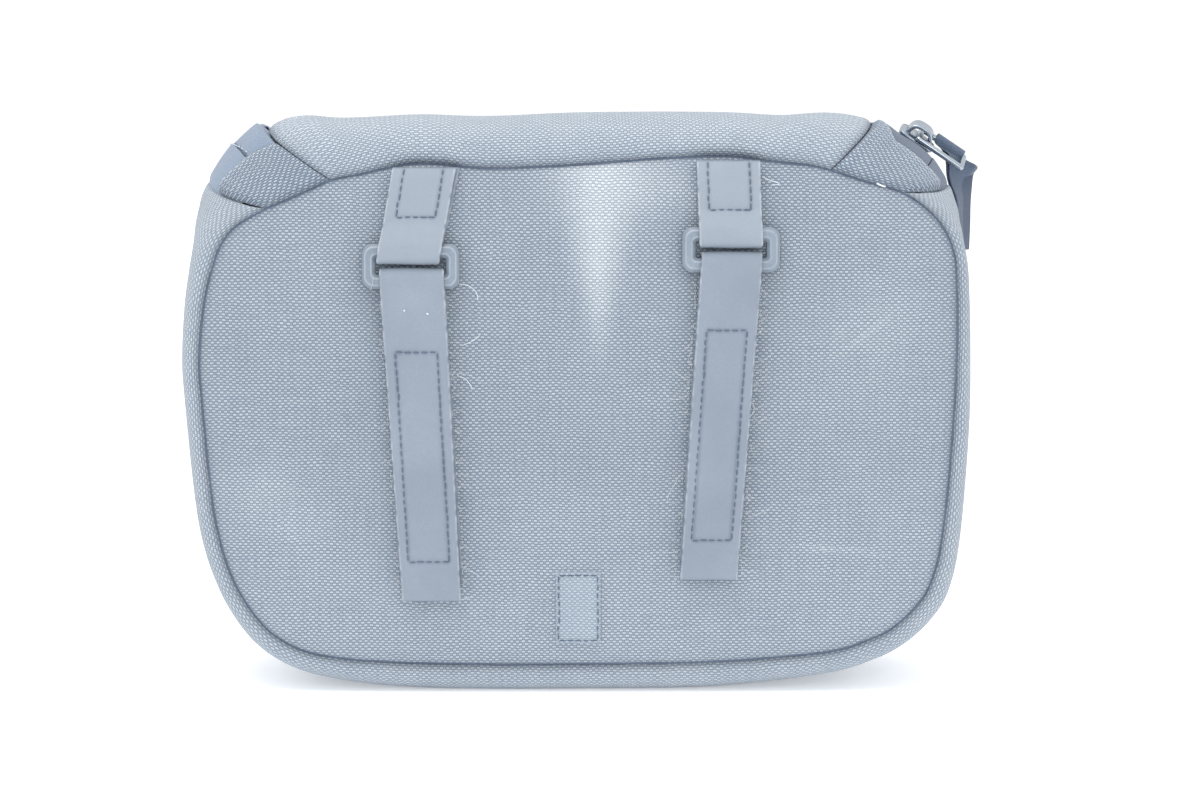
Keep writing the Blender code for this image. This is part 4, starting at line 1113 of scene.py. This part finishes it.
def chamfered(width, height, cut, soft):
    """A rectangle with cut corners, anticlockwise. Each of its eight corners becomes four
    points, soft and three times soft to both sides, so that its creases stay crisp."""
    w, h = width / 2, height / 2
    eight = np.array([(w, cut - h), (w, h - cut), (w - cut, h), (cut - w, h),
                      (-w, h - cut), (-w, cut - h), (cut - w, -h), (w - cut, -h)])
    before, after = unit(np.roll(eight, 1, 0) - eight), unit(np.roll(eight, -1, 0) - eight)
    four = [eight + before * soft * 3, eight + before * soft, eight + after * soft, eight + after * soft * 3]
    return np.stack(four, 1).reshape(-1, 2)


def crease_highlight(steps, much, seed):
    """Painted highlights on a frame's creases: only the two inner points of each four, more here
    and less there along the frame."""
    random = np.random.default_rng(seed)
    along = np.convolve(random.uniform(0, 1, steps + 4), np.ones(5) / 5, "valid")
    return (along[:, None] * much * np.tile([0.0, 1.0, 1.0, 0.0], 8)).ravel()


def frame_shape(outer, inner, thickness, cut, soft, place, axes):
    """A closed frame: (1 - s) inner + s outer, where s and the height follow a rectangular
    section with cut corners."""
    bar = np.mean(np.linalg.norm(outer - inner, axis=1))
    section = chamfered(bar, thickness, cut, soft)
    s = (section[:, 0] / bar + 0.5)[None, :, None]
    flat = inner[:, None] * (1 - s) + outer[:, None] * s
    up = np.broadcast_to(section[:, 1], flat.shape[:2])
    points = place + flat[..., :1] * axes[0] + flat[..., 1:] * axes[1] + up[..., None] * axes[2]
    hand = np.dot(np.cross(axes[0], axes[1]), axes[2])
    quads, row, column = grid_faces(*points.shape[:2], (True, True), flip=hand > 0)
    return points.reshape(-1, 3), [quads], [np.stack([column * 0.0004, row * 0.0004], -1)]


def add_fastening(line):
    """One side's ring, the short doubled strap that holds it, the long strap and its pad."""
    half = SEAM_WIDTH / 2
    ring_z = SEAM_ABOVE_FLOOR + line.ring_up * SEAM_HEIGHT
    end_z = SEAM_ABOVE_FLOOR + line.end_up * SEAM_HEIGHT
    seat = ring_frame(line.ring_across * half, ring_z)
    behind = GAP + STRAP_THICKNESS / 2
    before = 3 * GAP + 1.5 * STRAP_THICKNESS + RING_THICKNESS
    far = 3 * GAP + 1.5 * STRAP_THICKNESS + PAD_THICKNESS
    ring_depth = 2 * GAP + STRAP_THICKNESS + RING_THICKNESS / 2

    outer = outline(RING_WIDTH, RING_HEIGHT, 0.0034, 9)
    inner = outline(STRAP_WIDTH + 2 * STRAP_SIDE_CLEARANCE, RING_HEIGHT - 2 * RING_BAR, 0.0009, 9)
    ring = frame_shape(outer, inner, RING_THICKNESS, 0.0013, 0.00016, seat[0] + seat[2] * ring_depth,
                       (np.array([1.0, 0, 0]), seat[1], seat[2]))
    # Painted highlights on the ring's creases.
    place_mesh("ring_" + line.side, *ring, PLASTIC, "ring_plastic", ["ring_" + line.side],
               {"wear": crease_highlight(len(outer), 0.30, len(line.side))})

    path = fold_path(seat, 1, seat[0][0] + 0.0003, line.end_across * half, (end_z + STRAP_WIDTH / 4, end_z),
                     (behind, before, far))
    add_strap("bar_strap_" + line.side, path, STRAP_WIDTH, STRAP_THICKNESS, WEBBING, "webbing",
              [box(line.box_half, *STITCH_BOX)], uneven=0.00006, widths=(line.end_width, line.ring_width))

    top_x = line.top_across * half
    close = FINE[np.abs(FINE[:, 0] - top_x) < STRAP_WIDTH / 2]
    top_z = min(close[close[:, 1] > ring_z, 1]) - GAP
    path = fold_path(seat, -1, seat[0][0] - line.loop_aside, top_x, (top_z, top_z),
                     (behind, before, GAP + 2 * STRAP_THICKNESS), skew=line.loop_skew)
    add_strap("ring_loop_" + line.side, path, STRAP_WIDTH, STRAP_THICKNESS, WEBBING, "webbing",
              [box(line.loop_half, *LOOP_STITCHES)[:4]], uneven=0.00004, across=(-1.0, 0, 0), pale=0.09)

    pad = []
    for up in np.linspace(line.pad_low, line.pad_high, 9):
        part = (line.ring_up - up) / (line.ring_up - line.end_up)
        x = (line.ring_across + (line.end_across - line.ring_across) * part) * half
        pad.append(over_panel(x, SEAM_ABOVE_FLOOR + up * SEAM_HEIGHT, STRAP_WIDTH,
                              2 * GAP + STRAP_THICKNESS + PAD_THICKNESS / 2))
    add_strap("hook_pad_" + line.side, np.array(pad)[::-1], PAD_WIDTH, PAD_THICKNESS, HOOK, "hook_and_loop")


for line in STRAP_LINES:
    add_fastening(line)
print("with straps:", triangles(), "triangles")

# %% [markdown]
# ## The patch
#
# The small patch is a scrap of the nylon with its edges folded under, sewn round. Its face is
# a flat cushion: a superellipse in both directions.

# %% Patch
def patch_surface(u, v):
    """The patch's face at flat places from its middle: as high as 1 - |u|^8 - |v|^8 lets it."""
    u, v = np.asarray(u, float), np.asarray(v, float)
    p, q = np.abs(u) / (PATCH_WIDTH / 2), np.abs(v) / (PATCH_HEIGHT / 2)
    high = np.clip(1 - p**8, 0, 1) ** 0.5 * np.clip(1 - q**8, 0, 1) ** 0.5
    middle = SEAM_ABOVE_FLOOR + PATCH_UP * SEAM_HEIGHT
    y = back_y(u, middle + v) - GAP - PATCH_THICKNESS * high
    return np.stack([u, y, middle + v], -1)


def add_patch():
    u, v = np.meshgrid(np.linspace(-1, 1, 50), np.linspace(-1, 1, 80))
    u, v = u * PATCH_WIDTH / 2, v * PATCH_HEIGHT / 2
    points = patch_surface(u, v)
    inset = 0.0011
    corners = box(PATCH_WIDTH / 2 - inset, inset - PATCH_HEIGHT / 2, PATCH_HEIGHT / 2 - inset)
    points[..., 1] += 0.00025 * np.exp(-((line_distance(u, v, corners) / 0.0006) ** 2))
    quads, row, column = grid_faces(*points.shape[:2])
    made = place_mesh("base_patch", points.reshape(-1, 3), [quads], [np.stack([u, v], -1)[row, column]],
                      PATCH_CLOTH, "coated_nylon", ["base_patch"])
    wall(made, 0.0005)
    sew(patch_surface, np.array([0.0, -1.0, 0.0]), corners)


add_patch()

# %% [markdown]
# ## Slider, pull and ribbon
#
# The slider sits on the coil at the zip's right end. Its pull is a flat metal frame that lies
# under the slider's crown, and a ribbon folded over the frame's rear bar hangs down.

# %% Slider axes
def zip_seat():
    """The slider's place on the coil and its directions: along the zip, across it, and up."""
    spot = ZIP_START + SLIDER_FROM_END / SEAM_LENGTH
    shares = spot + np.array([-0.004, 0, 0.004])
    before, here, after = skin(shares, np.full(3, math.pi / 2), COIL_ABOVE_TAPE)
    along = unit(before - after)
    roll = math.radians(SLIDER_ROLL_DEG)
    level = np.array([0.0, 1.0, 0.0])
    square = np.cross(along, level)
    wide = level * math.cos(roll) + square * math.sin(roll)
    up = 3 * GAP + COIL_WIDTH / 2 * math.sin(roll) - SLIDER_SUNK
    return here + square * up, (along, wide, np.cross(along, wide))


SEAT, AXES = zip_seat()


def in_axes(points, place=SEAT):
    """Points given along, across and above the slider, at their place in the world."""
    return place + points @ np.stack(AXES)


def slider_plate(base, share):
    """A plate whose half width is widest before its nose, rounded over its top and bottom."""
    round_about, over = np.meshgrid(np.linspace(0, math.tau, 48, endpoint=False), np.linspace(-1, 1, 13),
                                    indexing="ij")
    c, s = np.cos(round_about), np.sin(round_about)
    long = np.sign(c) * np.abs(c) ** 0.55 * SLIDER_LENGTH / 2 * share
    taper = 1 - 0.16 * (long / (SLIDER_LENGTH / 2)) ** 2 - 0.10 * long / (SLIDER_LENGTH / 2)
    wide = np.sign(s) * np.abs(s) ** 0.5 * SLIDER_WIDTH / 2 * taper * share
    inwards = (1 - np.abs(over) ** 6) ** 0.5
    shrink = np.where(np.abs(over) > 0.999, 0.0, 0.90 + 0.10 * inwards)
    up = base + SLIDER_PLATE / 2 * (1 + np.clip(over * 1.02, -1, 1))
    local = np.stack([long * shrink, wide * shrink, up], -1)
    quads, row, column = grid_faces(48, 13, (True, False))
    return in_axes(local.reshape(-1, 3)), [quads], [np.stack([row * 0.0004, column * 0.0002], -1)]


def slider_crown():
    """A flat bar bent into an arch along the slider."""
    turn = np.linspace(0, math.pi, 25)
    base = SLIDER_PLATE - CROWN_FOOT
    arch = np.stack([-CROWN_LENGTH / 2 * np.sign(np.cos(turn)) * np.abs(np.cos(turn)) ** 0.7, 0 * turn,
                     base + CROWN_HEIGHT * np.sin(turn) ** 0.7], 1)
    ahead = unit(np.gradient(arch, axis=0))
    out = np.stack([-ahead[:, 2], 0 * turn, ahead[:, 0]], 1)
    profile = chamfered(CROWN_WIDTH, CROWN_THICKNESS, 0.0003, 0.00006)
    return carried(in_axes(arch), AXES[1], out @ np.stack(AXES), profile)


slider = joined([slider_plate(0, 1.0), slider_plate(-0.0031, 0.94), slider_crown()])
place_mesh("zip_slider", *slider, METAL, "zip_metal", ["zip_slider"])

hold = SEAT + AXES[2] * (SLIDER_PLATE + GAP + PULL_BAR / 2)
outer = outline(PULL_LENGTH, PULL_WIDTH, 0.0012, 5)
inner = outline(PULL_LENGTH - 2.3 * PULL_BAR, PULL_WIDTH - 2.3 * PULL_BAR, 0.0004, 5)
pull = frame_shape(outer, inner, PULL_BAR, 0.00045, 0.00007,
                   hold + AXES[0] * (PULL_LENGTH - PULL_BAR) / 2, AXES)
# Painted highlights on the pull's creases.
place_mesh("zip_pull", *pull, METAL, "zip_metal", ["zip_pull"], {"wear": crease_highlight(len(outer), 0.9, 5)})

# %% Ribbon
Hang = namedtuple("Hang", "drop far_edge fore")
RIBBON = [
    Hang(0.14, 0.1320, 0.00),
    Hang(0.30, 0.1314, -0.04),
    Hang(0.50, 0.1311, -0.08),
    Hang(0.75, 0.1310, -0.10),
    Hang(1.00, 0.1308, -0.12),
]


def side_x(z):
    """How far out the gusset's right side stands at a height."""
    share = np.linspace(0.2, RIGHT_LOW, 200)
    side = skin(share, np.full(200, math.pi / 2))
    return np.interp(z, side[:, 2], side[:, 0])


def ribbon_strip():
    """Middles and widths of one strip: down one layer, round the bar, down the other. Its far
    edge hangs straight down and its near edge rests on the gusset: cos(turn) = room / width."""
    along, wide, up = AXES
    bar = (hold + along * (PULL_LENGTH - 1.2 * PULL_BAR - GAP - RIBBON_WIDTH / 2)
           + wide * (PULL_WIDTH - PULL_BAR) / 2)
    room = PULL_BAR / 2 * math.sqrt(2) + GAP + RIBBON_THICKNESS / 2
    turn = np.linspace(0, math.pi, 9)[:, None]
    fold = bar + room * (up * np.sin(turn) - wide * np.cos(turn))
    layers, widths = [], []
    for apart, fanned in ((1, 0.0021), (-1, 0.0)):
        layer, directions = [], []
        for hang in RIBBON:
            z = bar[2] - hang.drop * RIBBON_BELOW_BAR
            far_edge = hang.far_edge - fanned * min(1.0, hang.drop / 0.4)
            angle = math.acos(np.clip((far_edge - side_x(z) - 0.0006) / RIBBON_WIDTH, 0.2, 0.985))
            tilt = max(0.0, 1 - hang.drop / 0.3)
            across = np.array([math.cos(angle), math.sin(angle), 0]) * (1 - tilt) + along * tilt
            facing = np.array([math.sin(angle), -math.cos(angle), 0])
            centre = np.array([far_edge - RIBBON_WIDTH / 2 * math.cos(angle),
                               bar[1] + hang.fore * RIBBON_WIDTH, z])
            layer.append(centre + facing * apart * (RIBBON_THICKNESS + room * tilt))
            directions.append(across / np.linalg.norm(across))
        layers.append(np.array(layer))
        widths.append(np.array(directions))
    middles = np.concatenate([layers[0][::-1], fold, layers[1]])
    across = np.concatenate([widths[0][::-1], np.tile(along, (len(fold), 1)), widths[1]])
    return middles, across


def add_ribbon():
    middles, across = ribbon_strip()
    both = through(np.hstack([middles, across * 0.001]), 150)
    path, across = both[:, :3], unit(both[:, 3:])
    out = unit(np.cross(np.gradient(path, axis=0), across))
    points, faces, metres = carried(path, across, out, strap_profile(RIBBON_WIDTH, RIBBON_THICKNESS, 13))
    around = len(points) // len(path)
    way = np.repeat(np.arange(len(path)) / len(path), around)
    u = np.sum((points - np.repeat(path, around, 0)) * np.repeat(across, around, 0), 1)
    # Painted highlight along the front layer's edge at the fold, and painted shade on the layer behind.
    ribbon_crease_highlight = np.where((way < 0.45) & (u > 0.4 * RIBBON_WIDTH), 0.30, 0.0)
    made = place_mesh("pull_ribbon", points, faces, metres, RIBBON_CLOTH, "ribbon", ["pull_ribbon"],
                      {"wear": ribbon_crease_highlight, "shade": np.where(way > 0.55, 0.5, 0.0)})
    length = float(np.sum(np.linalg.norm(np.diff(path, axis=0), axis=1)))
    print("ribbon length in mm:", round(length * 1000, 1))


add_ribbon()

# %% [markdown]
# ## Stitches and lint
#
# All the stitches are one mesh of small bent threads. The lint is a few hundred fine curly
# fibres at the cut edges of the straps, each a thin tube along a random walk.

# %% Stitches and lint
made = place_mesh("stitches", *joined(stitches), THREAD, "webbing")
print("stitches:", len(made.data.polygons), "faces")


def fibres(roots, headings, lengths, curl, seed):
    """Thin tubes: each turns by a smooth random angle as it goes from its root."""
    random = np.random.default_rng(seed)
    count, steps = len(roots), 14
    bend = np.cumsum(random.normal(0, curl, (count, steps, 3)), 1)
    ways = unit(headings[:, None] + bend)
    path = roots[:, None] + np.cumsum(ways * (lengths / steps)[:, None, None], 1)
    ahead = unit(np.gradient(path, axis=1))
    side = unit(np.cross(ahead, [0.3, 0.9, 0.2]))
    up = np.cross(ahead, side)
    turn = np.arange(4) / 4 * math.tau
    thin = 0.000042 * np.linspace(1, 0.4, steps)[None, :, None, None]
    out = side[:, :, None] * np.cos(turn)[:, None] + up[:, :, None] * np.sin(turn)[:, None]
    rings = path[:, :, None] + thin * out
    quads = grid_faces(steps, 4, (False, True), flip=True)[0]
    ends = np.array([[3, 2, 1, 0], [0, 1, 2, 3]]) + np.array([[0], [(steps - 1) * 4]])
    faces = np.concatenate([quads, ends])
    faces = (faces[None] + (np.arange(count) * steps * 4)[:, None, None]).reshape(-1, 4)
    return rings.reshape(-1, 3), [faces], [np.zeros((len(faces), 4, 2))]


def strap_lint():
    """Roots along both edges of the long straps, more of them near the lower ends."""
    random = np.random.default_rng(7)
    roots, headings = [], []
    for line, many in zip(STRAP_LINES, (150, 170)):
        top, end = line.ring_up - 0.05, line.end_up
        share = random.uniform(0, 1, many) ** 0.9
        up = top + (end - top) * share
        part = (line.ring_up - up) / (line.ring_up - line.end_up)
        x = (line.ring_across + (line.end_across - line.ring_across) * part) * SEAM_WIDTH / 2
        edge = np.where(random.uniform(0, 1, many) < 0.4, -1.0, 1.0)
        z = SEAM_ABOVE_FLOOR + up * SEAM_HEIGHT
        depth = random.uniform(0.0005, 0.0045, many)
        x = x + edge * (STRAP_WIDTH / 2 + 0.0001)
        roots.append(np.stack([x, back_y(x, z) - depth, z], 1))
        fore, rise = random.uniform(-0.5, 0.1, many), random.normal(0, 0.7, many)
        headings.append(np.stack([edge * 0.9, fore, rise], 1))
    return np.concatenate(roots), unit(np.concatenate(headings))


def cover_stitches():
    """A row of pale stitches across the cover of the zip's left end, beside its folded edge."""
    y = np.arange(-0.0200, 0.0130, 0.0019)
    share = np.full(len(y), ZIP_STOP + 0.0011 / SEAM_LENGTH)

    def spot(y):
        angle = angle_at(share, y)
        return skin(share, angle, tape_lift(share, angle) + 0.0005)

    here, after = spot(y), spot(y + 0.0004)
    ahead = unit(after - here)
    along = unit(skin(share + 1e-4, angle_at(share, y)) - skin(share - 1e-4, angle_at(share, y)))
    up = unit(np.cross(along, ahead))
    up *= np.sign(np.sum(up * (here - [0, 0, 0.09]), -1, keepdims=True))
    return repeated(STITCH, np.stack([here, ahead * 0.55, np.cross(up, ahead) * 1.2, up * 1.2], 1))


place_mesh("cover_stitches", *cover_stitches(), PALE_THREAD, "zip_tape")


def hair(radius, off, *spots):
    """A smooth tube through places across and up, in millimetres, off metres off the panel."""
    flat = through(np.array(spots) / 1000, 24)
    path = np.stack([flat[:, 0], back_y(flat[:, 0], flat[:, 1]) - off, flat[:, 1]], 1)
    path[:, 1] -= 0.0006 * np.sin(np.linspace(0, math.pi, 24))
    side = unit(np.cross(np.gradient(path, axis=0), [0.0, -1.0, 0.0]))
    return carried(path, side, [0.0, -1.0, 0.0], round_profile(radius, 5))


HAIRS = [
    # Curly hairs beside the straps
    hair(0.00009, 0.0012, (-43.8, 132.0), (-40.9, 132.3), (-37.7, 132.6), (-34.5, 132.0), (-32.0, 129.7),
         (-31.6, 127.4)),
    hair(0.00008, 0.0008, (-36.8, 113.1), (-34.5, 114.0), (-32.3, 115.3), (-31.0, 116.3)),
    hair(0.00009, 0.0009, (-38.4, 103.5), (-35.8, 102.5), (-34.2, 100.6), (-33.6, 99.0)),
    hair(0.00009, 0.0009, (61.0, 163.6), (63.5, 164.2), (60.2, 165.4), (58.4, 166.3)),
    hair(0.00008, 0.0009, (52.0, 89.0), (54.5, 90.1), (56.0, 93.0), (55.1, 95.4)),
    # Two specks on the left strap, and a scrap of thread on the right end of the top seam
    hair(0.00028, 0.0072, (-54.7, 124.5), (-54.4, 124.6), (-54.2, 124.6)),
    hair(0.00028, 0.0072, (-47.5, 123.6), (-47.2, 123.6), (-46.9, 123.5)),
    hair(0.00032, 0.0004, (94.6, 164.3), (95.6, 163.8), (96.6, 163.4), (97.5, 163.2)),
]
place_mesh("stray_hairs", *joined(HAIRS), LINT, "webbing")

roots, headings = strap_lint()
lengths = np.random.default_rng(8).gamma(2.0, 0.0010, len(roots)) + 0.0008
lengths = np.where(np.arange(len(roots)) % 17 == 3, lengths * 2.2 + 0.004, lengths)
place_mesh("lint_fibres", *fibres(roots, headings, lengths, 0.35, 3), LINT, "webbing")
print("whole bag:", triangles(), "triangles")

# %% [markdown]
# ## Floor, light and camera
#
# The bag stands on a plain white floor under soft, even light. The camera looks from six
# degrees above the floor. It was matched to the photograph's outline.

# %% Stage
def add_floor():
    finish, _, shader = new_finish("plain_pale_floor", 0.9, specular=0.1)
    shader.inputs["Base Color"].default_value = linear("#fbfcfe")
    shader.inputs["Emission Color"].default_value = (1.0, 1.0, 1.0, 1.0)
    shader.inputs["Emission Strength"].default_value = 0.28
    mesh = bpy.data.meshes.new("floor")
    size, low = 40.0, -0.0001
    corners = [(x * size, y * size, low) for x, y in ((-1, -1), (1, -1), (1, 1), (-1, 1))]
    mesh.from_pydata(corners, [], [(0, 1, 2, 3)])
    mesh.materials.append(finish)
    floor = bpy.data.objects.new("floor", mesh)
    bpy.context.scene.collection.objects.link(floor)
    floor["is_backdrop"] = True


def add_light(name, place, target, size, power):
    light = bpy.data.lights.new(name, "AREA")
    light.shape = "DISK"
    light.size = size
    light.energy = power
    made = bpy.data.objects.new(name, light)
    bpy.context.scene.collection.objects.link(made)
    aim(made, place, target)


def aim(made, place, target):
    """Puts a camera or light at a place, its -Z axis towards a target and its Y axis up."""
    back = unit(np.array(place) - np.array(target))
    right = unit(np.cross([0.0, 0.0, 1.0], back) + [1e-9, 0, 0])
    up = np.cross(back, right)
    rows = [[right[k], up[k], back[k], place[k]] for k in range(3)]
    made.matrix_world = [list(column) for column in zip(*rows, (0, 0, 0, 1))]


add_floor()
add_light("soft_overhead", (-0.15, -0.30, 1.1), (0, 0, 0.08), 0.7, 4.5)
add_light("soft_front", (0.3, -1.3, 0.55), (0, 0, 0.06), 0.6, 2.2)

world = bpy.data.worlds.new("white_room")
world.use_nodes = True
world.node_tree.nodes["Background"].inputs["Color"].default_value = (1.0, 1.0, 1.0, 1.0)
world.node_tree.nodes["Background"].inputs["Strength"].default_value = 1.06
bpy.context.scene.world = world

TARGET = np.array([0.0070, -0.032, 0.0952])
DISTANCE, ELEVATION = 0.75, math.radians(6)
FOCAL_PIXELS, FRAME_PIXELS, SENSOR = 2343.75, 1200, 36.0
camera = bpy.data.cameras.new("camera")
camera.sensor_width = SENSOR
camera.lens = SENSOR * FOCAL_PIXELS / FRAME_PIXELS
eye = bpy.data.objects.new("camera", camera)
bpy.context.scene.collection.objects.link(eye)
aim(eye, TARGET + DISTANCE * np.array([0, -math.cos(ELEVATION), math.sin(ELEVATION)]), TARGET)
bpy.context.scene.camera = eye
bpy.context.scene.view_settings.view_transform = "Standard"
